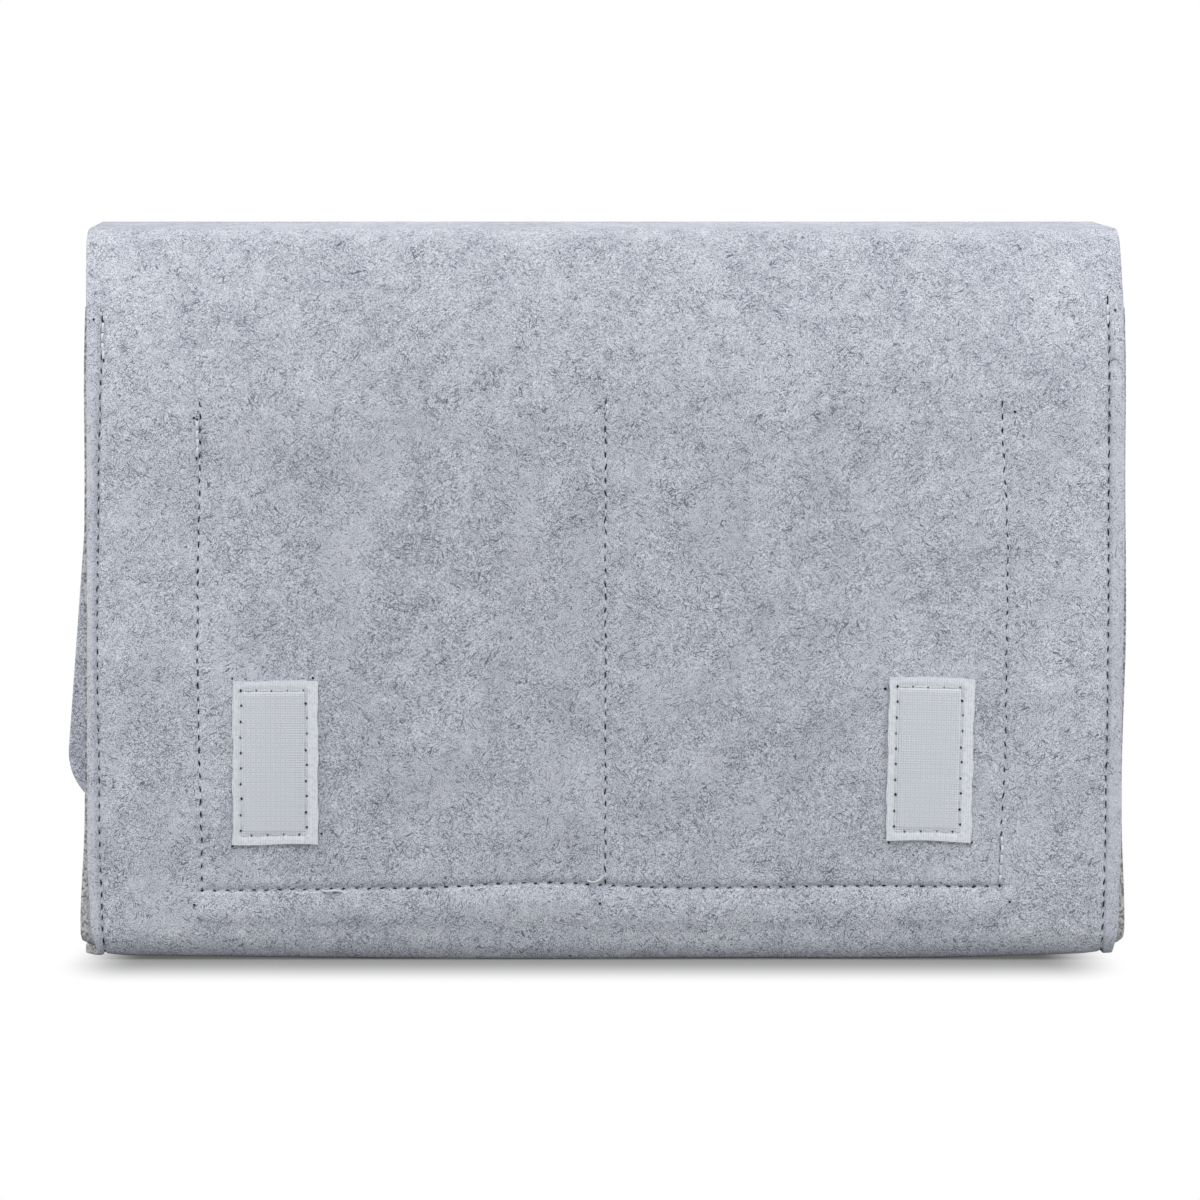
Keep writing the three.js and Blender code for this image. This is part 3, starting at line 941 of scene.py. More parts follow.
@dataclass
class FeltStrip:
    """The long felt strip, cut into the bag's wrap, the soft folds of the flap and its hanging apron.

    A span holds where a change begins and where it is complete. An edge holds where the felt begins to be
    drawn sideways and over how wide a strip.
    """

    path: FeltPath
    seams: SeamPlan
    half_width: float
    material: bpy.types.Material
    grid: FeltGrid = FeltGrid()
    apron_corner: float = 20.0
    edge_round: float = 0.6
    raw_side_share: float = 0.35
    raw_end_share: float = 0.5
    bend_lap: float = 8.0
    shear_length: float = 26.0
    crease_shift: float = 0.75
    bridge_shift: float = 2.2
    apron_drift: float = 0.0737
    lift_left: float = 1.9
    lift_left_span: tuple[float, float] = (20.0, 145.0)
    lift_right: float = 2.8
    lift_right_span: tuple[float, float] = (60.0, 150.0)
    lift_height: float = 24.0
    edge_left: tuple[float, float] = (147.0, 5.5)
    edge_right: tuple[float, float] = (146.5, 6.0)
    drawn_left: tuple[Fade, ...] = (Fade(1.0, 5, 30), Fade(1.7, 0, 8))
    drawn_right: tuple[Fade, ...] = (
        Fade(0.85, 60, 125), Fade(0.9, 5, 40), Fade(-0.15, 140, 200), Fade(1.2, 0, 7),
    )
    base_margin: float = 1.8
    turn_span: tuple[float, float] = (-3.0, 2.0)
    wave_height: tuple[float, float] = (0.45, 0.3)
    wave_across: tuple[float, float] = (37.0, 21.0)
    wave_along: tuple[float, float] = (49.0, 58.0)
    wave_start: float = 0.8
    still_front: tuple[float, float] = (40.0, 90.0)
    still_top: tuple[float, float] = (170.0, 198.0)
    spread: float = 0.0035
    stand: float = -0.8
    close_rows: tuple[float, float] = (25.0, 172.0)

    # About where the seams run across the rear panel, which gets more points there
    SEWN_LINES = (-148.2, -119.3, 0.0, 117.2, 147.2)
    SAMPLES = 6001
    ROUND_POINTS = 4
    CORNER_POINTS = 25

    def slack(self, s: Array) -> Array:
        """Gives how far the felt strays to the left: it shears at the crease and drifts down the apron.

        Args:
            s: Lengths along the felt.

        Returns:
            The distance to the left.
        """
        m = self.path.stations
        marks = [m["fold_a"] - self.shear_length, m["fold_b"], m["fold_c"], m["end"]]
        apron = self.bridge_shift + self.apron_drift * (m["end"] - m["fold_c"])
        return np.interp(s, marks, [0, self.crease_shift, self.bridge_shift, apron])

    def edge_share(self, x: Array, right: bool) -> Array:
        """Gives 0 inside one side seam, rising evenly to 1 near the felt's edge."""
        start, width = self.edge_right if right else self.edge_left
        return np.clip(((x if right else -x) - start) / width, 0, 1)

    def corner(self, x: Array, z: Array) -> tuple[Array, Array]:
        """Shapes the bag's bottom corners, which the seams draw up and in.

        Args:
            x: Across the felt.
            z: Height.

        Returns:
            How far a point moves across, and how far it is lifted.
        """
        lift = self.lift_left * smoothstep(-x, *self.lift_left_span)
        lift = lift + self.lift_right * smoothstep(x, *self.lift_right_span)
        left = sum(fade.at(z) for fade in self.drawn_left)
        right = sum(fade.at(z) for fade in self.drawn_right)
        drawn = left * self.edge_share(x, False) - right * self.edge_share(x, True)
        return drawn, lift * (1 - smoothstep(z, 0, self.lift_height))

    def place(self, x: Array, s: Array, off: Array) -> Array:
        """Places points: the middle line at s, plus off along its outward normal, at x drifted with the flap.

        Args:
            x: Across the felt.
            s: Along the felt from the front mouth.
            off: Out from the felt's middle.

        Returns:
            Points, with their axes last.
        """
        x, s, off = np.broadcast_arrays(x, s, off)
        y, z, heading = self.path.at(s)
        m = self.path.stations
        bag = s < m["fold_a"]
        upright = np.sin(x / self.wave_across[0] + self.wave_start) * np.sin(s / self.wave_along[0])
        slanted = np.sin(x / self.wave_across[1] - s / self.wave_along[1])
        wave = bag * (self.wave_height[0] * upright + self.wave_height[1] * slanted)
        still = smoothstep(s, *self.still_front) * (1 - smoothstep(z, *self.still_top) * bag)
        out = off + wave * still
        moved, lift = self.corner(x, z)
        turned = smoothstep(s, *(m["rear_roll"] + step for step in self.turn_span))
        moved = bag * np.where(x < 0, moved * turned, moved)
        under = smoothstep(s, m["base"], m["rear_roll"]) * (1 - turned)
        moved = moved - self.base_margin * self.edge_share(x, False) * under
        raised = z + out * np.sin(heading) + bag * lift
        top = m["fold_a"] - 2 * self.shear_length
        wide = 1 + self.spread * np.interp(s, [top, m["fold_a"], m["fold_b"], m["fold_c"]], [0, 1, 1, 0])
        flat = np.maximum(raised, self.stand)
        return np.stack([x * wide + moved - self.slack(s), y - out * np.cos(heading), flat], axis=-1)

    def face(self, x: Array, s: Array, lift: Any) -> Array:
        """Places points on the felt's outer face, lift above it and following the pull of its seams."""
        return self.place(x, s, self.path.felt / 2 + self.seams.relief(x, s) + lift)

    def normal(self, s: Array) -> Array:
        """Gives the outward normal of the plain felt at lengths along it."""
        heading = self.path.at(s)[2]
        return np.stack([np.zeros_like(heading), -np.cos(heading), np.sin(heading)], axis=-1)

    def columns(self, step: float, focus: tuple[float, ...] = ()) -> Array:
        """Places points across the felt, closer together near chosen lines.

        Args:
            step: Spacing away from the lines.
            focus: Where the lines lie.

        Returns:
            Places from the left edge to the right, short of the rounded edges.
        """
        end = self.half_width - self.edge_round
        x = np.linspace(-end, end, self.SAMPLES)
        density = np.full_like(x, 1 / step)
        for line in focus:
            near = np.exp(-((x - line) / self.grid.seam_reach) ** 4)
            density = np.maximum(density, near / self.grid.seam_columns)
        count = np.concatenate([[0], np.cumsum((density[1:] + density[:-1]) / 2 * np.diff(x))])
        return np.interp(np.linspace(0, count[-1], round(count[-1]) + 1), count, x)

    def section(self, outer: Array, inner: Array) -> tuple[Array, Array, Array, Array]:
        """Draws the felt's closed section: outer face, rounded right edge, inner face, rounded left edge.

        Args:
            outer: Places across the outer face.
            inner: Places across the inner face.

        Returns:
            Across, out from the middle, 1 on the outer face, and 1 on the cut edges, round the section.
        """
        turn = np.linspace(0, np.pi / 2, self.ROUND_POINTS)[1:]
        r, half = self.edge_round, self.path.felt / 2
        corner_x = self.half_width - r + r * np.sin(turn)
        corner_off = half - r + r * np.cos(turn)
        edge_x = np.concatenate([corner_x, corner_x[::-1]])
        edge_off = np.concatenate([corner_off, -corner_off[::-1]])
        x = np.concatenate([outer, edge_x, inner[::-1], -edge_x[::-1]])
        faces = np.full(len(outer), half), np.full(len(inner), -half)
        off = np.concatenate([faces[0], edge_off, faces[1], edge_off[::-1]])
        on_outer = np.clip(off / half, 0, 1)
        raw = np.abs(x) > self.half_width - self.raw_side_share * r
        return x, off, on_outer, raw.astype(float)

    def cut(self, rows: Array, outer: Array, inner: Array, raw_start: bool = False,
            raw_end: bool = False) -> Surface:
        """Carries the felt's section along a stretch of the strip and rounds its raw ends.

        Args:
            rows: Lengths along the strip.
            outer: Places across the outer face.
            inner: Places across the inner face.
            raw_start: Whether the first row is a raw cut end.
            raw_end: Whether the last row is a raw cut end.

        Returns:
            The closed stretch of felt.
        """
        x, off, on_outer, raw = self.section(outer, inner)
        s = rows[:, None]
        r, half = self.edge_round, self.path.felt / 2
        thickness, ends = np.ones_like(s), np.zeros_like(s)
        for is_raw, gap in ((raw_start, s - rows[0]), (raw_end, rows[-1] - s)):
            if is_raw:
                inset = np.clip(1 - gap / r, 0, 1)
                thickness = thickness * (half - r + r * np.sqrt(1 - inset ** 2)) / half
                ends = np.maximum(ends, (gap < self.raw_end_share * r).astype(float))
        wide = np.ones_like(s)
        if raw_end:
            inset = np.clip(1 - (rows[-1] - s) / self.apron_corner, 0, 1)
            wide = 1 - self.apron_corner * (1 - np.sqrt(1 - inset ** 2)) / self.half_width
        height = off[None] * thickness
        if rows[0] < self.path.stations["rear"]:
            height = height + on_outer[None] * self.seams.relief(x[None], s)
        pressed = self.seams.margin(x[None], s) * (rows[0] < self.path.stations["rear"])
        return lofted(self.place(x[None] * wide, s, height), np.maximum(raw[None], ends), pressed=pressed)

    def build(self) -> list[bpy.types.Object]:
        """Cuts the strip into its pieces, joins the wrap to the frame's bag body and hides the imported nodes
        that the pieces stand for.

        Returns:
            The wrap, the three soft bends and the apron.
        """
        m, grid = self.path.stations, self.grid
        fine = self.columns(grid.outer_columns, self.SEWN_LINES)
        plain = self.columns(grid.inner_columns)
        low, sewn = self.path.rear_station(np.array(self.close_rows))
        top = m["fold_a"] - self.bend_lap
        r = self.edge_round
        rows = spaced(
            (0, r, r / self.ROUND_POINTS), (r, m["front_roll"], grid.plain),
            (m["front_roll"], m["base"], grid.front_roll), (m["base"], m["rear_roll"], grid.plain),
            (m["rear_roll"], m["rear"], grid.rear_roll), (m["rear"], low, grid.bottom_seam),
            (low, sewn, grid.sewn), (sewn, top, grid.above_seams),
        )
        wrap = make_piece("bag_wrap", self.cut(rows, fine, plain, raw_start=True), self.material)
        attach(wrap, "bag")
        self._lay_flat("body_wrap")
        bridge = (m["bridge"] + m["fold_c"]) / 2
        end = m["end"]
        corner = end - self.apron_corner * (1 - np.sin(np.linspace(0, np.pi / 2, self.CORNER_POINTS)))
        above = spaced((m["fold_d"], m["apron"], grid.apron_fold), (m["apron"], corner[0], grid.plain))
        apron = np.concatenate([above[:-1], corner])
        # Each piece's rows, where its bend begins and ends, and the two bodies on either side of it. The
        # second body has the name of the imported node that the piece stands for
        bends = (
            ("rear_panel_bend",
             spaced((top, m["fold_a"], grid.above_seams), (m["fold_a"], m["fold_b"], grid.rear_fold)),
             "fold_a", "fold_b", "bag", "flap_rear_fold"),
            ("flap_rear_bend",
             spaced((m["fold_b"], m["bridge"], grid.rear_fold), (m["bridge"], bridge, grid.bridge)),
             "fold_b", "bridge", "flap_rear_fold", "flap_bridge"),
            ("flap_front_bend",
             spaced((bridge, m["fold_c"], grid.bridge), (m["fold_c"], m["fold_d"], grid.front_fold)),
             "fold_c", "fold_d", "flap_bridge", "flap_front_fold"),
            ("flap_apron_felt", apron, "fold_d", "apron", "flap_front_fold", "flap_apron"),
        )
        pieces = [wrap]
        across = self.columns(grid.flap_columns)
        for name, rows, first, last, body_a, body_b in bends:
            surface = self.cut(rows, across, across, raw_end=rows[-1] == end)
            piece = make_piece(name, surface, self.material)
            # Where its bend begins and ends, taken at X = 0 so that the felt's drift is left out
            start, stop = (
                [0.0, *(self.place(0.0, m[mark], 0.0)[1:] * MM).tolist()] for mark in (first, last)
            )
            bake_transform(piece)
            self._lay_flat(body_b)
            pieces.append(piece)
        return pieces

    def _lay_flat(self, node: str) -> None:
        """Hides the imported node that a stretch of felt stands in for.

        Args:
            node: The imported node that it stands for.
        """
        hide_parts(node)


# Gussets and pocket

@dataclass
class Gusset:
    """A side panel of felt, its margin turned outwards and sewn under the wrap's edge."""

    strip: FeltStrip
    right: bool
    edge: float
    web: float
    material: bpy.types.Material
    thickness: float = 2.9
    bend: float = 3.0
    belly: Fade = Fade(4.0, 20, 100)
    belly_height: float = 26.0
    tuck: float = 3.5
    tuck_start: float = 110.0
    front_proud: float = 0.2
    edge_wave: float = 0.15
    edge_wave_length: float = 13.0
    gap: float = 0.05
    row_step: float = 3.5
    roll_step: float = 2.0

    # How far the raw edge stands out past the wrap behind: all the way up, and what lower stretches add
    LEFT_EDGE = (1.0, (Fade(1.2, 8, 40), Fade(-2.8, -1, 3.2)))
    RIGHT_EDGE = (0.7, (Fade(-1.1, 40, 100), Fade(0.8, 8, 40), Fade(-2.2, -1, 3.2)))
    MARGIN_POINTS = 6
    BEND_POINTS = 7
    WEB_POINTS = 15

    def build(self) -> bpy.types.Object:
        """Builds the panel on lines that run from its raw edge, round the bend and in to the middle line.

        A point starts under the wrap, follows a quarter circle inwards, then goes straight to the middle of
        the bag's depth. Both halves meet on that line, and the lines from the base meet in one point.

        Returns:
            The gusset.
        """
        path = self.strip.path
        m = path.stations
        front = spaced((0, m["front_roll"], self.row_step))
        heights = path.mouth - front
        rear = path.rear_station(heights[::-1])
        base = spaced(
            (m["front_roll"], m["base"], self.roll_step), (m["base"], m["rear_roll"], self.row_step),
            (m["rear_roll"], m["rear"], self.roll_step),
        )
        s = np.concatenate([front, base[1:-1], rear])[:, None]
        level = path.at(s)[1]
        under = -path.felt / 2 - self.gap - self.thickness / 2
        plain, fades = self.RIGHT_EDGE if self.right else self.LEFT_EDGE
        proud = sum((fade.at(level) for fade in fades), start=plain)
        proud = proud + self.edge_wave * np.sin(level / self.edge_wave_length)
        behind = smoothstep(s, m["base"], m["rear_roll"])
        proud = self.front_proud + (proud - self.front_proud) * behind
        margin = np.linspace(0, 1, self.MARGIN_POINTS)[None]
        side = 1 if self.right else -1
        bend_x = self.web + self.bend
        edge = self.edge + proud
        angle = np.linspace(0, np.pi / 2, self.BEND_POINTS)[None, 1:]
        inward = np.linspace(0, 1, self.WEB_POINTS)[None, 1:]
        x = np.concatenate([edge + (bend_x - edge) * margin, np.broadcast_to(
            bend_x - self.bend * np.sin(angle), (len(s), angle.size))], axis=1)
        depth = np.concatenate([0 * margin, self.bend * (1 - np.cos(angle))], axis=1)
        lean = np.concatenate([0 * margin, angle], axis=1)
        faces = []
        for way in (1, -1):
            off = way * self.thickness / 2
            curl = self.strip.place(side * x, s, under - depth - off * np.cos(lean))
            curl[..., 0] = x + off * np.sin(lean)
            start = curl[:, -1:]
            target_z = np.maximum(level, self.belly_height)
            swell = self.belly.at(level) - self.tuck * smoothstep(level, self.tuck_start, path.mouth)
            web = np.stack(np.broadcast_arrays(
                start[..., 0] + swell * smoothstep(inward, 0, 1),
                start[..., 1] * (1 - inward),
                start[..., 2] + (target_z - start[..., 2]) * inward), axis=-1)
            faces.append(np.concatenate([curl, web], axis=1))
        if not self.right:
            for face in faces:
                face[..., 0] *= -1
        surface = self._closed(faces[0], faces[1])
        name = "gusset_felt_right" if self.right else "gusset_felt_left"
        piece = make_piece(name, surface, self.material, weld=True)
        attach(piece, "bag")
        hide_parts("gusset_right" if self.right else "gusset_left")
        return piece

    def _closed(self, outer: Array, inner: Array) -> Surface:
        """Closes two faces along the raw edge and the mouth.

        Args:
            outer: Points of the face that is seen from outside.
            inner: Points of the face inside the bag.

        Returns:
            The shell, whose middle lines still lie on each other.
        """
        rows, columns = outer.shape[:2]
        near = np.arange(rows * columns).reshape(rows, columns)
        far = near + rows * columns
        quads = [
            np.stack([near[:-1, :-1], near[1:, :-1], near[1:, 1:], near[:-1, 1:]], axis=-1),
            np.stack([far[:-1, :-1], far[:-1, 1:], far[1:, 1:], far[1:, :-1]], axis=-1),
            np.stack([near[:-1, 0], far[:-1, 0], far[1:, 0], near[1:, 0]], axis=-1),
            np.stack([near[0, :-1], near[0, 1:], far[0, 1:], far[0, :-1]], axis=-1),
            np.stack([near[-1, :-1], far[-1, :-1], far[-1, 1:], near[-1, 1:]], axis=-1),
        ]
        step = -1 if self.right else 1
        points = np.concatenate([outer.reshape(-1, 3), inner.reshape(-1, 3)])
        cut = np.zeros((rows, columns))
        cut[:, :2] = cut[0] = cut[-1] = 1
        faces = [quad.reshape(-1, 4)[:, ::step] for quad in quads]
        return Surface(points, faces, points, np.tile(cut.ravel(), 2))


@dataclass
class InnerPocket:
    """A panel of thinner felt sewn inside the rear panel, in two bowed bays."""

    strip: FeltStrip
    bottom: float
    top: float
    half_width: float
    material: bpy.types.Material
    margin: float = 4.5
    thickness: float = 2.0
    bow: float = 8.0
    toe: float = 30.0
    power: float = 3.0
    gap: float = 0.15
    press: float = 0.5
    press_width: float = 1.6
    foot: float = 10.0
    foot_step: float = 0.8
    row_step: float = 2.5
    raw_rim: float = 0.1

    COLUMNS = 141

    def build(self) -> bpy.types.Object:
        """Builds the panel. It stands off the rear panel by the bow, times one less a power across each bay.

        The bow rises from 0 at the bottom seam over the toe. The inner face is pressed in along the seams.

        Returns:
            The pocket.
        """
        path = self.strip.path
        foot = self.bottom + self.foot
        height = spaced((self.bottom, foot, self.foot_step), (foot, self.top, self.row_step))[:, None]
        s = path.rear_station(height)
        near = np.linspace(-self.half_width, self.half_width, self.COLUMNS)
        x = np.concatenate([near, near[::-1]])[None]
        layer = np.concatenate([np.zeros(len(near)), np.ones(len(near))])[None]
        seam_x = self.half_width - self.margin
        bay = np.clip(np.abs(x) / seam_x, 0, 1)
        across = 1 - np.abs(2 * bay - 1) ** self.power
        seam = self.bottom + self.margin
        stand = self.bow * across * smoothstep(height, seam, seam + self.toe)
        sides, divider, bottom = (
            np.exp(-(off / self.press_width) ** 2) for off in (np.abs(x) - seam_x, x, height - seam)
        )
        sewn = np.maximum(sides + divider, bottom * (np.abs(x) < seam_x))
        off = -path.felt / 2 - self.gap - stand - layer * (self.thickness - self.press * sewn)
        inset = np.minimum(np.minimum(self.half_width - np.abs(x), self.top - height), height - self.bottom)
        cut = inset < self.raw_rim
        surface = lofted(self.strip.place(x, s, off), cut.astype(float))
        piece = make_piece("inner_pocket_felt", surface, self.material)
        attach(piece, "bag")
        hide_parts("inner_pocket")
        return piece


# Stitching

@dataclass
class Stitching:
    """Lockstitch: a thread that arches from needle hole to needle hole, and dark lenses of painted shade in
    the holes themselves.
    """

    thread: bpy.types.Material
    # The material of the painted shade in the holes
    holes: bpy.types.Material
    radius: float = 0.25
    arch: float = -0.08
    sink: float = 0.7
    # Sizes of the dark lenses of painted shade in the holes
    hole_length: float = 1.1
    hole_width: float = 0.25
    hole_height: float = 0.22
    hole_lift: float = 0.12
    across_grain: float = 0.36
    skew: float = 0.28
    length_spread: tuple[float, float] = (0.8, 1.2)
    width_spread: tuple[float, float] = (0.75, 1.2)
    steps: int = 8
    seed: int = 11

    def run(self, face: Face, normal: Callable[[Array], Array], x: Array, s: Array, pitch: float,
            jitter: float = 0.14) -> tuple[Surface, Array, Array, Array]:
        """Sews one run along a line on a face.

        Stitch t lies between holes t and t + 1. The thread's height is minus the sink at a hole, and rises to
        the arch between holes as the square root of the sine of its share.

        Args:
            face: Places points on the face, from across, along and lift.
            normal: Gives the face's normal from along.
            x: The line's places across.
            s: The line's places along.
            pitch: About how far apart the holes are.
            jitter: How far the thread wanders sideways.

        Returns:
            The thread, and for each hole its place, its direction and its normal.
        """
        rng = np.random.default_rng(self.seed + len(x))
        length = np.concatenate([[0], np.cumsum(np.hypot(np.diff(x), np.diff(s)))])
        count = max(1, round(length[-1] / pitch))
        t = np.linspace(0, count, count * self.steps + 1)
        at = t / count * length[-1]
        wander = np.interp(t, np.arange(count + 1), rng.uniform(-jitter, jitter, count + 1))
        line_x, line_s = np.interp(at, length, x) + wander, np.interp(at, length, s) + wander
        rise = np.sqrt(np.abs(np.sin(np.pi * t)))
        centre = face(line_x, line_s, -self.sink + (self.sink + self.arch) * rise)
        out = normal(line_s)
        ground = face(line_x, line_s, 0.0)
        way = np.gradient(ground, axis=0)
        way /= np.linalg.norm(way, axis=1, keepdims=True)
        hole = slice(None, None, self.steps)
        return tube(centre, out, self.radius), ground[hole], way[hole], out[hole]

    def hole_shade_lenses(self, places: Array, ways: Array, normals: Array, length: Any, width: Any) -> Surface:
        """Sets a flat dark lens of painted shade in each hole, drawn out along the seam and a little askew.

        Args:
            places: Where the holes are.
            ways: The seam's direction at each.
            normals: The face's normal at each.
            length: Half the lens's length.
            width: Half the lens's width.

        Returns:
            All the lenses.
        """
        rng = np.random.default_rng(self.seed + len(places))
        side = np.cross(normals, ways)
        skew = rng.uniform(-self.skew, self.skew, (len(places), 1))
        along = ways * np.cos(skew) + side * np.sin(skew)
        across = np.cross(normals, along)
        shorter = 1 - self.across_grain * np.abs(ways[:, :1])
        long = shorter * (length * rng.uniform(*self.length_spread, len(places)))[:, None]
        wide = (width * rng.uniform(*self.width_spread, len(places)))[:, None]
        axes = np.stack([along * long, across * wide, normals * self.hole_height], axis=1)
        return stamped(pebble(), axes, places + normals * self.hole_lift)


@dataclass(frozen=True)
class SewnLine:
    """One line of a seam on the felt strip, as places across and along.

    slit is how long its needle holes are drawn, and over says that it is sewn back over another line.
    """

    x: Array
    s: Array
    slit: float = 1.0
    over: bool = False


@dataclass
class FeltSeams:
    """Every seam on the felt: both side seams behind and in front, the pocket's U and its divider."""

    strip: FeltStrip
    stitching: Stitching
    tail_radius: float = 0.3
    tail_rise: float = 0.5
    turn: float = 0.9
    side_slit: float = 1.15
    over_pitch: float = 2.6
    over_jitter: float = 0.45
    step: float = 1.0
    front_top: float = 3.0
    pocket_corner: float = 22.0
    divider_low: float = 22.3
    punch_radius: float = 0.42

    SIDE_TOPS = {"left": 187.5, "right": 193.5}
    # Stitches sewn back over a seam: where they end, where they start and how far aside they lie
    SEWN_BACK = {
        "left": (175.5, 186.5, 0.45), "right": (186.0, 191.5, -0.4), "pocket_left": (147.5, 158.0, -0.45),
        "pocket_right": (22.0, 36.0, 0.5), "divider": (158.5, 162.5, 0.4),
    }
    # Across and up on the rear panel
    PUNCH_MARKS = ((-150.2, 187.3), (149.9, 190.0), (-120.8, 158.5), (120.2, 160.3), (-120.8, 15.0),
                   (-1.6, 15.9), (118.8, 15.9), (-109.6, 82.0), (-85.9, 82.2), (-109.6, 32.8), (-83.4, 36.4),
                   (82.2, 79.0), (83.3, 33.8), (107.6, 33.8))
    TAILS = (((-5.4, 22.7), (-3.6, 22.2), (-1.8, 22.8), (-0.6, 24.3)),
             ((-83.2, 19.7), (-81.4, 19.4), (-79.6, 19.6), (-77.6, 19.2)))
    TAIL_POINTS = 25

    def side_at(self, right: bool, height: Array) -> Array:
        """Gives the X of a side seam at heights on the rear panel."""
        return self.strip.seams.side(self.strip.path.rear_station(height), right)

    def vertical(self, line: Callable[[Array], Array], low: float, high: float,
                 aside: float = 0.0) -> SewnLine:
        """Sets out a line down the rear panel.

        Args:
            line: Gives X from height.
            low: Where it ends.
            high: Where it starts.
            aside: A shift sideways, as on stitches sewn back over the first.

        Returns:
            The line.
        """
        height = spaced((high, low, self.step))
        return SewnLine(line(height) + aside, self.strip.path.rear_station(height), over=aside != 0)

    def build(self) -> list[bpy.types.Object]:
        """Sews every seam and sets painted shade in its needle holes.

        Returns:
            The threads and the dark marks of painted shade.
        """
        path, seams = self.strip.path, self.strip.seams
        m = path.stations
        front_end = m["base"] - (m["base"] - m["front_roll"]) * (1 - self.turn)
        rear_end = m["rear_roll"] + (m["rear"] - m["rear_roll"]) * (1 - self.turn)
        lines: dict[str, list[SewnLine]] = {}
        for right, side in ((False, "left"), (True, "right")):
            top = float(path.rear_station(self.SIDE_TOPS[side]))
            behind = spaced((top, rear_end, self.step))
            before = spaced((self.front_top, front_end, self.step))
            lines[f"side_seam_rear_{side}"] = [
                SewnLine(seams.side(behind, right), behind, self.side_slit),
                self.vertical(partial(self.side_at, right), *self.SEWN_BACK[side]),
            ]
            lines[f"side_seam_front_{side}"] = [SewnLine(seams.side(before, right), before, self.side_slit)]
        at_left, at_right = seams.pocket_left.at, seams.pocket_right.at
        across = spaced((at_left(self.pocket_corner), at_right(self.pocket_corner), self.step))
        bottom = seams.pocket_bottom.at(across)
        lines["pocket_seam"] = [
            self.vertical(at_left, bottom[0], seams.pocket_top),
            SewnLine(across, path.rear_station(bottom)),
            self.vertical(at_right, bottom[-1], seams.pocket_top),
            self.vertical(at_left, *self.SEWN_BACK["pocket_left"]),
            self.vertical(at_right, *self.SEWN_BACK["pocket_right"]),
        ]
        lines["pocket_divider_seam"] = [self.vertical(np.zeros_like, self.divider_low, seams.divider_top),
                                        self.vertical(np.zeros_like, *self.SEWN_BACK["divider"])]
        pieces, holes = [], []
        proud = replace(self.stitching, radius=0.42, arch=0.4, sink=0.35, seed=self.stitching.seed + 3)
        for name, runs in lines.items():
            sewn = []
            for run in runs:
                line = self.strip.face, self.strip.normal, run.x, run.s
                sewn.append(proud.run(*line, self.over_pitch, self.over_jitter) if run.over
                            else self.stitching.run(*line, seams.pitch))
            surfaces = [thread for thread, *_ in sewn]
            if name == "pocket_seam":
                surfaces += [self._tail(np.array(tail)) for tail in self.TAILS]
            piece = make_piece(f"{name}_thread", Surface.joined(surfaces), self.stitching.thread)
            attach(piece, "bag")
            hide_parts(name)
            pieces.append(piece)
            for run, (_, *marks) in zip(runs, sewn):
                slit = self.stitching.hole_length * run.slit
                holes.append(self.stitching.hole_shade_lenses(*marks, slit, self.stitching.hole_width))
        holes.append(self._punch_hole_shade())
        # Dark lenses of painted shade in every needle and punched hole
        marks = make_piece("felt_needle_hole_shade", Surface.joined(holes), self.stitching.holes)
        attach(marks, "bag")
        return [*pieces, marks]

    def _tail(self, points: Array) -> Surface:
        """Lays a loose thread end on the felt, on a smooth curve through a few places across and up.

        Args:
            points: The places.

        Returns:
            The thread end.
        """
        share = np.linspace(0, 1, len(points))
        fine = np.linspace(0, 1, self.TAIL_POINTS)
        degree = len(points) - 1
        x, height = (np.polynomial.Polynomial.fit(share, values, degree)(fine) for values in points.T)
        s = self.strip.path.rear_station(height)
        lift = self.tail_radius + self.tail_rise * np.sin(np.pi * fine)
        return tube(self.strip.face(x, s, lift), self.strip.normal(s), self.tail_radius)

    def _punch_hole_shade(self) -> Surface:
        """Sets a small round lens of painted shade in each hole that was punched to lay out the seams and
        tapes.

        Returns:
            The lenses.
        """
        x, height = np.array(self.PUNCH_MARKS).T
        s = self.strip.path.rear_station(height)
        normals = self.strip.normal(s)
        ways = np.cross(normals, np.array([[1.0, 0, 0]]))
        size = self.punch_radius
        return self.stitching.hole_shade_lenses(self.strip.face(x, s, 0.0), ways, normals, size, size)


# Fastening tapes

class TapeKind(Enum):
    """The two halves of a fastening: stiff hooks and soft loops."""

    HOOK = "hook"
    LOOP = "loop"


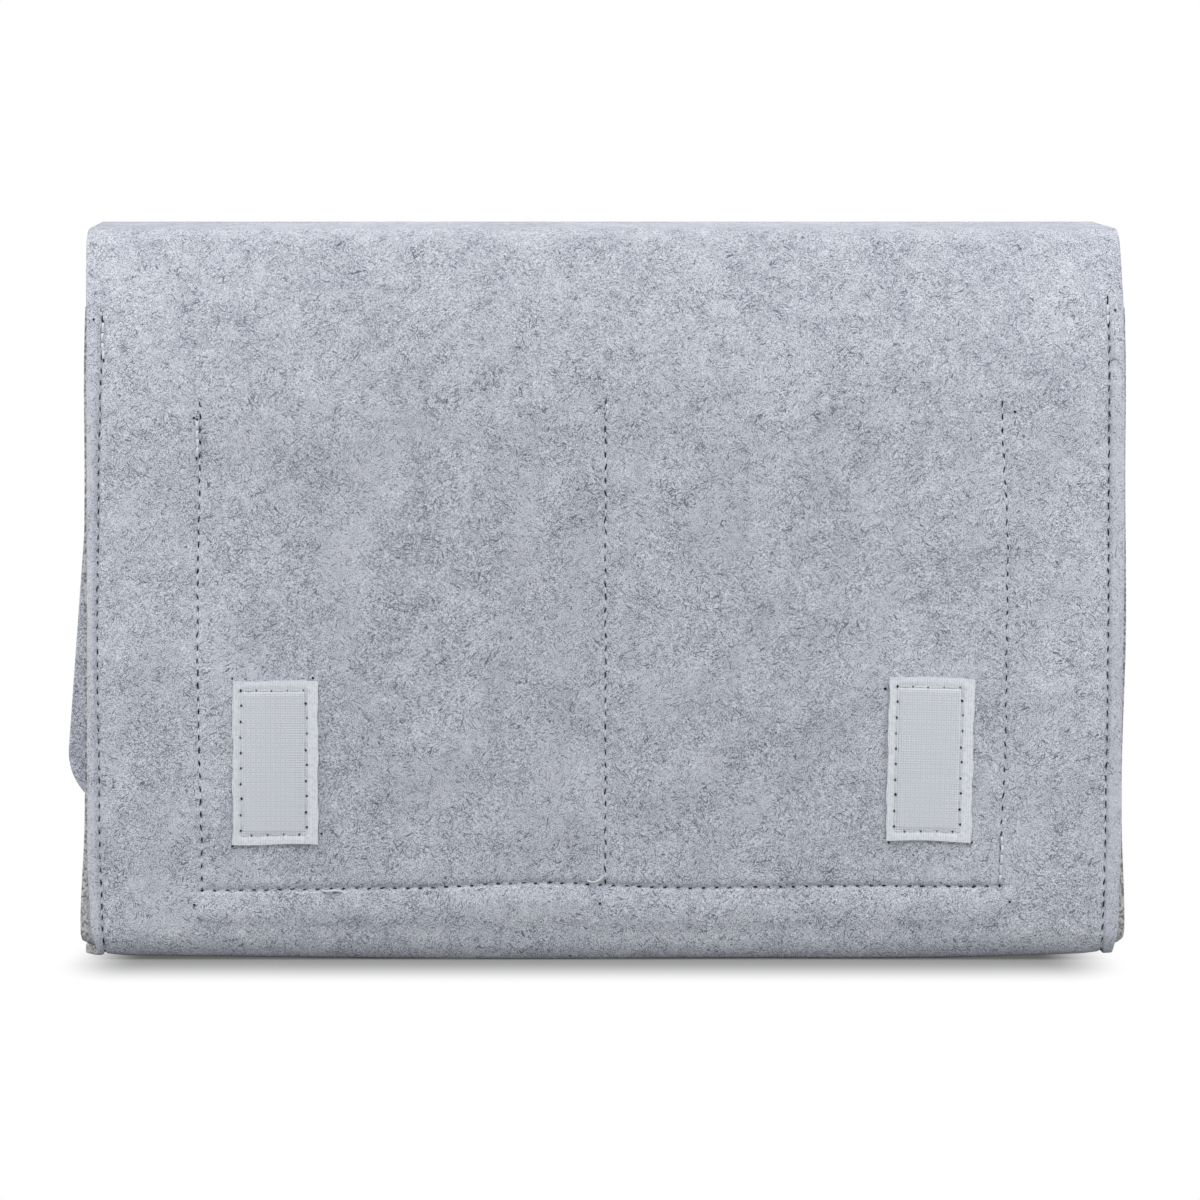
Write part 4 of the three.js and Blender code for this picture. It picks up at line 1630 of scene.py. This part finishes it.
@dataclass
class FasteningTape:
    """A short woven tape sewn on by its selvedges, with a field of hooks or loops."""

    kind: TapeKind
    right: bool
    strip: FeltStrip
    centre_x: float
    centre_s: float
    tilt: float
    body: str
    base: bpy.types.Material
    strand: bpy.types.Material
    stitching: Stitching
    width: float = 25.0
    length: float = 48.0
    thickness: float = 0.7
    gap: float = 0.05
    selvedge: float = 3.2
    inset_left: float = 2.4
    inset_right: float = 3.4
    inset_end: float = 2.75
    selvedge_blend: tuple[float, float] = (-0.5, 0.4)
    pitch: float = 4.5
    jitter: float = 0.2
    thread_sink: float = 0.2
    hole_size: tuple[float, float] = (0.42, 0.33)
    again_length: float = 9.5
    again_aside: float = 0.35
    seam_draw: float = 0.28
    seam_width: float = 0.7
    edge_curl: float = 0.25
    curl_start: float = 0.85
    curl_width: float = 0.15
    ragged: tuple[float, float] = (0.009, 0.008)
    ragged_length: tuple[float, float] = (3.1, 1.3)
    end_wave: float = 0.22
    end_wave_length: float = 4.3
    root: float = 0.05
    hook_pitch: float = 1.44
    hook_stray: float = 0.06
    hook_height: float = 0.6
    hook_turn: float = 0.3
    hook_spread: tuple[float, float] = (0.85, 1.05)
    crook: float = 0.18
    crook_turn: float = 1.15
    strand_radius: float = 0.07
    loop_pitch: float = 0.62
    loop_stray: float = 0.3
    loop_size: tuple[float, float, float] = (0.62, 0.18, 1.25)
    loop_radius: float = 0.055
    loop_spread: tuple[float, float] = (0.65, 1.05)

    SEEDS = {False: 5, True: 23}
    STARTS = {False: 0.4, True: 1.7}
    ROWS = 97
    COLUMNS = 61
    CROOK_POINTS = 5
    LOOP_POINTS = 7

    def face(self, u: Array, v: Array, lift: Any) -> Array:
        """Places points on the tape's outer face from its own across and along, lift above it.

        Args:
            u: Across the tape, seen from outside the felt.
            v: Along the felt strip.
            lift: Out from the tape's face.

        Returns:
            The points.
        """
        u, v = np.broadcast_arrays(u, v)
        x = self.centre_x + u * math.cos(self.tilt) - v * math.sin(self.tilt)
        s = self.centre_s + u * math.sin(self.tilt) + v * math.cos(self.tilt)
        return self.strip.place(x, s, self.strip.path.felt / 2 + self.gap + self.thickness + lift)

    def normal(self, v: Array) -> Array:
        """Gives the outward normal along the tape."""
        return self.strip.normal(self.centre_s + np.asarray(v))

    def build(self) -> list[bpy.types.Object]:
        """Builds the woven base, its field and the seam round it.

        Returns:
            The pieces.
        """
        side = "right" if self.right else "left"
        name = f"{self.kind.value}_tape_{side}"
        base = make_piece(f"{name}_weave", self._weave(), self.base)
        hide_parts(name)
        hooks = self.kind is TapeKind.HOOK
        field_piece = make_piece(f"{name}_{self.kind.value}s", self._hooks() if hooks else self._loops(),
                                 self.strand, sharp=180)
        thread, holes = self._sewn()
        seam = make_piece(f"{self.kind.value}_stitch_{side}_thread", thread, self.stitching.thread)
        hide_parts(f"{self.kind.value}_stitch_{side}")
        # Painted shade in the tape's needle holes
        marks = make_piece(f"{name}_needle_hole_shade", holes, self.stitching.holes)
        pieces = [base, field_piece, seam, marks]
        for piece in pieces:
            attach(piece, self.body)
        return pieces

    def _weave(self) -> Surface:
        """Carries the tape's thin section along it, drawn in at the seam and a little wavy at its edges.

        Returns:
            The woven base, with its pattern on the tape's own across and along.
        """
        half, end = self.width / 2, self.length / 2
        v = np.linspace(-end, end, self.ROWS)[:, None]
        face = np.linspace(-1, 1, self.COLUMNS)
        across = np.concatenate([face, face[::-1]])[None]
        layer = np.concatenate([np.zeros(len(face)), np.ones(len(face))])[None]
        start = self.STARTS[self.right]
        (long, short), (long_mm, short_mm) = self.ragged, self.ragged_length
        ragged = 1 + long * np.sin(v / long_mm + start) * across + short * np.sin(v / short_mm + 2 * start)
        u = across * half * ragged
        ends = v + self.end_wave * np.sin(u / self.end_wave_length + start) * (v / end) ** 6
        left, right, low, high = self._seam_box()
        near_u = np.minimum(np.abs(u - left), np.abs(u - right))
        near_v = np.minimum(np.abs(v - low), np.abs(v - high))
        seam_u = np.exp(-(near_u / self.seam_width) ** 2) * (v > low) * (v < high)
        seam_v = np.exp(-(near_v / self.seam_width) ** 2) * (u > left) * (u < right)
        drawn = self.seam_draw * np.maximum(seam_u, seam_v)
        curl = self.edge_curl * np.maximum(0, np.abs(u) / half - self.curl_start) / self.curl_width
        lift = curl - (1 - layer) * drawn - layer * self.thickness
        pattern = np.stack(np.broadcast_arrays(u, 0.0, ends), axis=-1)
        inside = np.minimum(np.minimum(u - left, right - u), np.minimum(v - low, high - v))
        pressed = 1 - smoothstep(inside, *self.selvedge_blend)
        return lofted(self.face(u, ends, lift), pattern=pattern, pressed=pressed)

    def _seam_box(self) -> tuple[float, float, float, float]:
        """Gives the seam's rectangle on the tape: left, right, low and high."""
        half, end = self.width / 2, self.length / 2
        return self.inset_left - half, half - self.inset_right, self.inset_end - end, end - self.inset_end

    def _field(self, pitch: float, shuffle: float) -> tuple[Array, Array, np.random.Generator]:
        """Sets out the places of hooks or loops in rows over the field.

        Args:
            pitch: Their spacing.
            shuffle: How far each may stray.

        Returns:
            Across, along and the random source.
        """
        rng = np.random.default_rng(self.SEEDS[self.right])
        half, end = self.width / 2 - self.selvedge, self.length / 2 - self.selvedge
        u, v = np.meshgrid(np.arange(-half, half, pitch), np.arange(-end, end, pitch))
        stray = rng.uniform(-shuffle, shuffle, (2, u.size))
        return u.ravel() + stray[0], v.ravel() + stray[1], rng

    def _planted(self, shape: Surface, u: Array, v: Array, turn: Array, size: Array) -> Surface:
        """Plants a strand at each place, upright on the tape and turned about its own root.

        Args:
            shape: The strand: X is the way that it bends, Z is out from the tape.
            u: Places across.
            v: Places along.
            turn: Each strand's angle from the tape's length.
            size: Each strand's size.

        Returns:
            All the strands.
        """
        out = self.normal(v)
        right = np.broadcast_to([1.0, 0.0, 0.0], out.shape)
        along = np.cross(out, right)
        lead = along * np.cos(turn)[:, None] + right * np.sin(turn)[:, None]
        side = np.cross(out, lead)
        axes = np.stack([lead, side, out], axis=1) * size[:, None, None]
        return stamped(shape, axes, self.face(u, v, -self.root))

    def _hooks(self) -> Surface:
        """Plants the hooks: a straight stalk, then a little over half a circle that comes down again.

        Returns:
            All the hooks.
        """
        stalk = self.hook_height - self.crook
        angle = np.linspace(0, self.crook_turn * np.pi, self.CROOK_POINTS)[1:]
        x = np.concatenate([[0, 0], self.crook * (1 - np.cos(angle))])
        z = np.concatenate([[0, stalk], stalk + self.crook * np.sin(angle)])
        line = np.stack([x, 0 * x, z], axis=1)
        shape = tube(line, np.broadcast_to([0.0, 1.0, 0.0], line.shape), self.strand_radius, sides=4)
        u, v, rng = self._field(self.hook_pitch, self.hook_stray)
        row = np.round((v - v.min()) / self.hook_pitch).astype(int)
        turn = np.where(row % 2 == 0, 0.0, np.pi) + rng.normal(0, self.hook_turn, len(u))
        return self._planted(shape, u, v, turn, rng.uniform(*self.hook_spread, len(u)))

    def _loops(self) -> Surface:
        """Plants the loops: thin arches of uneven height, turned every way, that make a soft pile.

        Returns:
            All the loops.
        """
        angle = np.linspace(0, np.pi, self.LOOP_POINTS)
        line = np.stack([np.cos(angle), np.sin(2 * angle), np.sin(angle)], axis=1) * self.loop_size
        shape = tube(line, np.broadcast_to([0.0, 1.0, 0.0], line.shape), self.loop_radius, sides=3)
        u, v, rng = self._field(self.loop_pitch, self.loop_stray)
        turn = rng.uniform(0, 2 * np.pi, len(u))
        return self._planted(shape, u, v, turn, rng.uniform(*self.loop_spread, len(u)))

    def _sewn(self) -> tuple[Surface, Surface]:
        """Sews once round the selvedge, with a few stitches sewn over twice.

        Returns:
            The thread, and the dark lenses of painted shade in its needle holes.
        """
        left, right, low, high = self._seam_box()
        corner_u = np.array([left, right, right, left, left])
        corner_v = np.array([high, high, low, low, high])
        again_u = (right if self.right else left) + self.again_aside
        again_v = (high, high - self.again_length) if self.right else (low, low + self.again_length)
        runs = [(corner_u, corner_v), (np.full(2, again_u), np.array(again_v))]
        sewn = [
            self.stitching.run(self._pressed, self.normal, u, v, self.pitch, self.jitter) for u, v in runs
        ]
        holes = self.stitching.hole_shade_lenses(*sewn[0][1:], *self.hole_size)
        return Surface.joined([thread for thread, *_ in sewn]), holes

    def _pressed(self, u: Array, v: Array, lift: Any) -> Array:
        """Places points on the tape's face where the seam draws it in."""
        return self.face(u, v, lift - self.thread_sink)


# Studio

@dataclass(frozen=True)
class Softbox:
    """A rectangular lamp: where it stands, what it faces, its size and its power. Millimetres and watts."""

    name: str
    place: tuple[float, float, float]
    aim: tuple[float, float, float]
    size: tuple[float, float]
    watts: float

    def build(self) -> None:
        """Sets the lamp up, unseen by the camera."""
        light = bpy.data.lights.new(self.name, "AREA")
        light.shape = "RECTANGLE"
        light.size, light.size_y = (side * MM for side in self.size)
        light.energy = self.watts
        aimed(self.name, light, self.place, self.aim).visible_camera = False


@dataclass(frozen=True)
class Studio:
    """White floor, with a painted shadow near the object, and white background, soft lamps and the
    photograph's camera. Millimetres.
    """

    eye: tuple[float, float, float] = (-1.6, -1030.0, 120.0)
    aim: tuple[float, float, float] = (-1.6, -30.0, 105.1)
    lens: float = 102.2
    sensor: float = 36.0
    lamps: tuple[Softbox, ...] = (
        Softbox("overhead_softbox", (40.0, -525.0, 1195.0), (0.0, -30.0, 105.0), (1200.0, 1000.0), 15.1),
        Softbox("left_strip", (-330.0, -120.0, 105.0), (0.0, -30.0, 105.0), (100.0, 420.0), 0.4),
        Softbox("right_strip", (300.0, -190.0, 105.0), (0.0, -30.0, 105.0), (100.0, 420.0), 0.32),
        Softbox("front_fill", (0.0, 900.0, 260.0), (0.0, 35.0, 110.0), (700.0, 500.0), 5.0),
    )
    sky: float = 0.44
    floor_size: float = 8000.0
    floor_drop: float = 0.9
    # Painted shadow: the floor's dark albedo as the camera sees it near the footprint, and the share of white
    # glow, painted light, that lifts it even there
    painted_shadow_albedo: float = 0.2
    painted_shadow_lift: float = 0.12
    floor_bounce: float = 0.42
    floor_near: float = 0.36
    footprint_x: float = -4.0
    footprint: tuple[float, float] = (132.0, 30.0)
    shadow_reach: tuple[float, float] = (25.0, 55.0)

    def build(self) -> None:
        """Sets the world, the floor, the lamps and the camera."""
        scene = bpy.context.scene
        scene.view_settings.view_transform = "Standard"
        self._sky()
        self._floor()
        for lamp in self.lamps:
            lamp.build()
        camera = bpy.data.cameras.new("camera")
        camera.lens, camera.sensor_width = self.lens, self.sensor
        scene.camera = aimed("camera", camera, self.eye, self.aim)

    def _sky(self) -> None:
        """Lights from all round, and shows white to the camera and to reflections."""
        world = bpy.data.worlds.new("white_studio")
        tree = blank_tree(world)
        rays = add_node(tree, "ShaderNodeLightPath").outputs
        seen = add_node(tree, "ShaderNodeMath", {
            0: rays["Is Camera Ray"], 1: rays["Is Glossy Ray"]}, operation="MAXIMUM")
        seen = add_node(tree, "ShaderNodeMath", {
            0: seen.outputs[0], 1: rays["Is Transmission Ray"]}, operation="MAXIMUM")
        fill = add_node(tree, "ShaderNodeBackground", {"Color": (1, 1, 1, 1), "Strength": self.sky})
        white = add_node(tree, "ShaderNodeBackground", {"Color": (1, 1, 1, 1), "Strength": 1.0})
        mixed = add_node(tree, "ShaderNodeMixShader", {
            0: seen.outputs[0], 1: fill.outputs[0], 2: white.outputs[0]})
        add_node(tree, "ShaderNodeOutputWorld", {"Surface": mixed.outputs[0]})
        bpy.context.scene.world = world

    def _floor(self) -> None:
        """Lays a matt white floor that keeps the object's shadow and fades into the background. Near the
        footprint the camera sees it darker, a painted shadow, lifted by a little white glow that is painted
        light.
        """
        made = bpy.data.materials.new("matt_white_floor")
        tree = blank_tree(made)
        rays = add_node(tree, "ShaderNodeLightPath").outputs
        place = add_node(tree, "ShaderNodeTexCoord").outputs["Object"]
        # Distance from the footprint, as a share of how far the painted shadow reaches to the side and to the
        # front
        half_x, half_y = (half * MM for half in self.footprint)
        shares = [1 / (reach * MM) for reach in self.shadow_reach]
        steps = (
            ("SUBTRACT", (self.footprint_x * MM, 0.0, 0.0)), ("ABSOLUTE", None),
            ("SUBTRACT", (half_x, half_y, 1.0)), ("MAXIMUM", (0.0, 0.0, 0.0)), ("MULTIPLY", (*shares, 1.0)),
        )
        for operation, value in steps:
            inputs = {0: place} if value is None else {0: place, 1: value}
            place = add_node(tree, "ShaderNodeVectorMath", inputs, operation=operation).outputs["Vector"]
        away = add_node(tree, "ShaderNodeVectorMath", {0: place}, operation="LENGTH")
        # Painted shadow: to the camera the floor is dark near the footprint and turns into white emission
        # farther off, and a little white glow even at the footprint is painted light
        fade = add_node(tree, "ShaderNodeMapRange", {
            "Value": away.outputs["Value"], "To Min": self.painted_shadow_lift}, interpolation_type="SMOOTHSTEP")
        blank = add_node(tree, "ShaderNodeMath", {
            0: fade.outputs[0], 1: rays["Is Camera Ray"]}, operation="MULTIPLY")
        # White paper throws light back up at the base, a little less from close by than from the floor
        # farther off
        bounce = add_node(tree, "ShaderNodeMapRange", {
            "Value": fade.outputs[0], "To Min": self.floor_near, "To Max": self.floor_bounce})
        # The camera sees the dark albedo of the painted shadow, other rays the albedo that throws light back
        albedo = add_node(tree, "ShaderNodeMapRange", {
            "Value": rays["Is Camera Ray"], "To Min": bounce.outputs[0], "To Max": self.painted_shadow_albedo})
        matt = add_node(tree, "ShaderNodeBsdfDiffuse", {"Color": albedo.outputs[0]})
        white = add_node(tree, "ShaderNodeEmission", {"Color": (1, 1, 1, 1), "Strength": 1.0})
        mixed = add_node(tree, "ShaderNodeMixShader", {
            0: blank.outputs[0], 1: matt.outputs[0], 2: white.outputs[0]})
        add_node(tree, "ShaderNodeOutputMaterial", {"Surface": mixed.outputs[0]})
        half = self.floor_size / 2
        corners = [(-half, -half), (half, -half), (half, half), (-half, half)]
        mesh = bpy.data.meshes.new("floor")
        mesh.from_pydata([(x * MM, y * MM, -self.floor_drop * MM) for x, y in corners], [], [(0, 1, 2, 3)])
        mesh.materials.append(made)
        floor = bpy.data.objects.new("floor", mesh)
        bpy.context.scene.collection.objects.link(floor)


def felt_path() -> FeltPath:
    """Reads the strip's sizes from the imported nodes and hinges.

    Returns:
        The strip's middle line.
    """
    wrap_low, wrap_high = node_box("body_wrap")
    gusset_high = node_box("gusset_left")[1]
    apron_low = node_box("flap_apron")[0]
    hinges = {joint["name"]: np.array(joint["pos_m"]) / MM for joint in frame["joints"]}
    lower, upper = hinges["rear_fold_lower"], hinges["rear_fold_upper"]
    front_upper, front_lower = hinges["front_fold_upper"], hinges["front_fold_lower"]
    bridge = front_upper - upper
    pitch = math.atan2(bridge[2], bridge[1])
    lean = 2 * math.atan2(upper[1] - lower[1], upper[2] - lower[2]) - math.pi / 2 + pitch
    reach = float(np.linalg.norm(upper - lower)) / 2
    rise, apron_short = 56.0, 2.6
    return FeltPath(
        depth=wrap_high[1] - wrap_low[1],
        mouth=gusset_high[2],
        roll=13.0,
        roll_ease=3.0,
        press=1.6,
        felt=3.0,
        lean_start=lower[2] - rise,
        lean=lean,
        lean_length=rise / math.sin(lean) * lean - reach,
        rear_reach=reach,
        front_reach=float(np.linalg.norm(front_lower - front_upper)) / 2,
        pitch=pitch,
        apron_y=front_lower[1],
        apron_end=apron_low[2] + apron_short,
    )


def main() -> None:
    """Builds the caddy piece by piece, then the studio."""
    logging.basicConfig(level=logging.INFO, format="%(name)s: %(message)s")
    Studio().build()
    felt = FeltFinish("grey_melange_needled_felt", "#DEE1E8", "#B2B5BF", "#666B77").material()
    pocket_felt = FeltFinish("thin_grey_needled_felt", "#DADDE5", "#AEB1BC", "#626774").material()
    # The tape's dark second colour is painted shade between threads, and its random wear
    weave = WovenTapeFinish("white_woven_polyester_tape", "#D7DAE1", "#7A7E89").material()
    hook_nylon = FilamentFinish("drawn_nylon_hooks", "#E6E9EE", "#D3D6DD", 0.4).material()
    loop_nylon = FilamentFinish("brushed_nylon_loops", "#DDE0E6", "#C4C8D0", 0.6).material()
    thread = FilamentFinish("spun_polyester_thread", "#CDD0D8", "#AFB3BD", 0.6).material()
    # The dark lenses in the needle and punched holes are painted shade
    holes = NeedleHoleShadeFinish("opened_felt_shadow", "#23252B", "#6A6F7A").material()
    half_width = node_box("body_wrap")[1][0]
    path = felt_path()
    seams = SeamPlan(path, half_width)
    strip = FeltStrip(path, seams, half_width, felt)
    strip.build()
    web = node_box("gusset_right")[0][0] + path.felt / 2
    for right in (False, True):
        Gusset(strip, right, half_width, web, felt).build()
    pocket_low, pocket_high = node_box("inner_pocket")
    InnerPocket(strip, pocket_low[2], pocket_high[2], pocket_high[0], pocket_felt).build()
    stitching = Stitching(thread, holes)
    FeltSeams(strip, stitching).build()
    for right, x, height, tilt in HOOK_PLACES:
        s = float(path.rear_station(height))
        FasteningTape(TapeKind.HOOK, right, strip, x, s, tilt, "bag", weave, hook_nylon, stitching).build()
    for right in (False, True):
        low, high = node_box("loop_tape_right" if right else "loop_tape_left")
        s = path.stations["end"] - ((low[2] + high[2]) / 2 - path.apron_end)
        x = (low[0] + high[0]) / 2 + strip.slack(s)
        FasteningTape(TapeKind.LOOP, right, strip, x, s, 0.0, "flap_apron", weave, loop_nylon,
                      stitching).build()


if __name__ == "__main__":
    main()
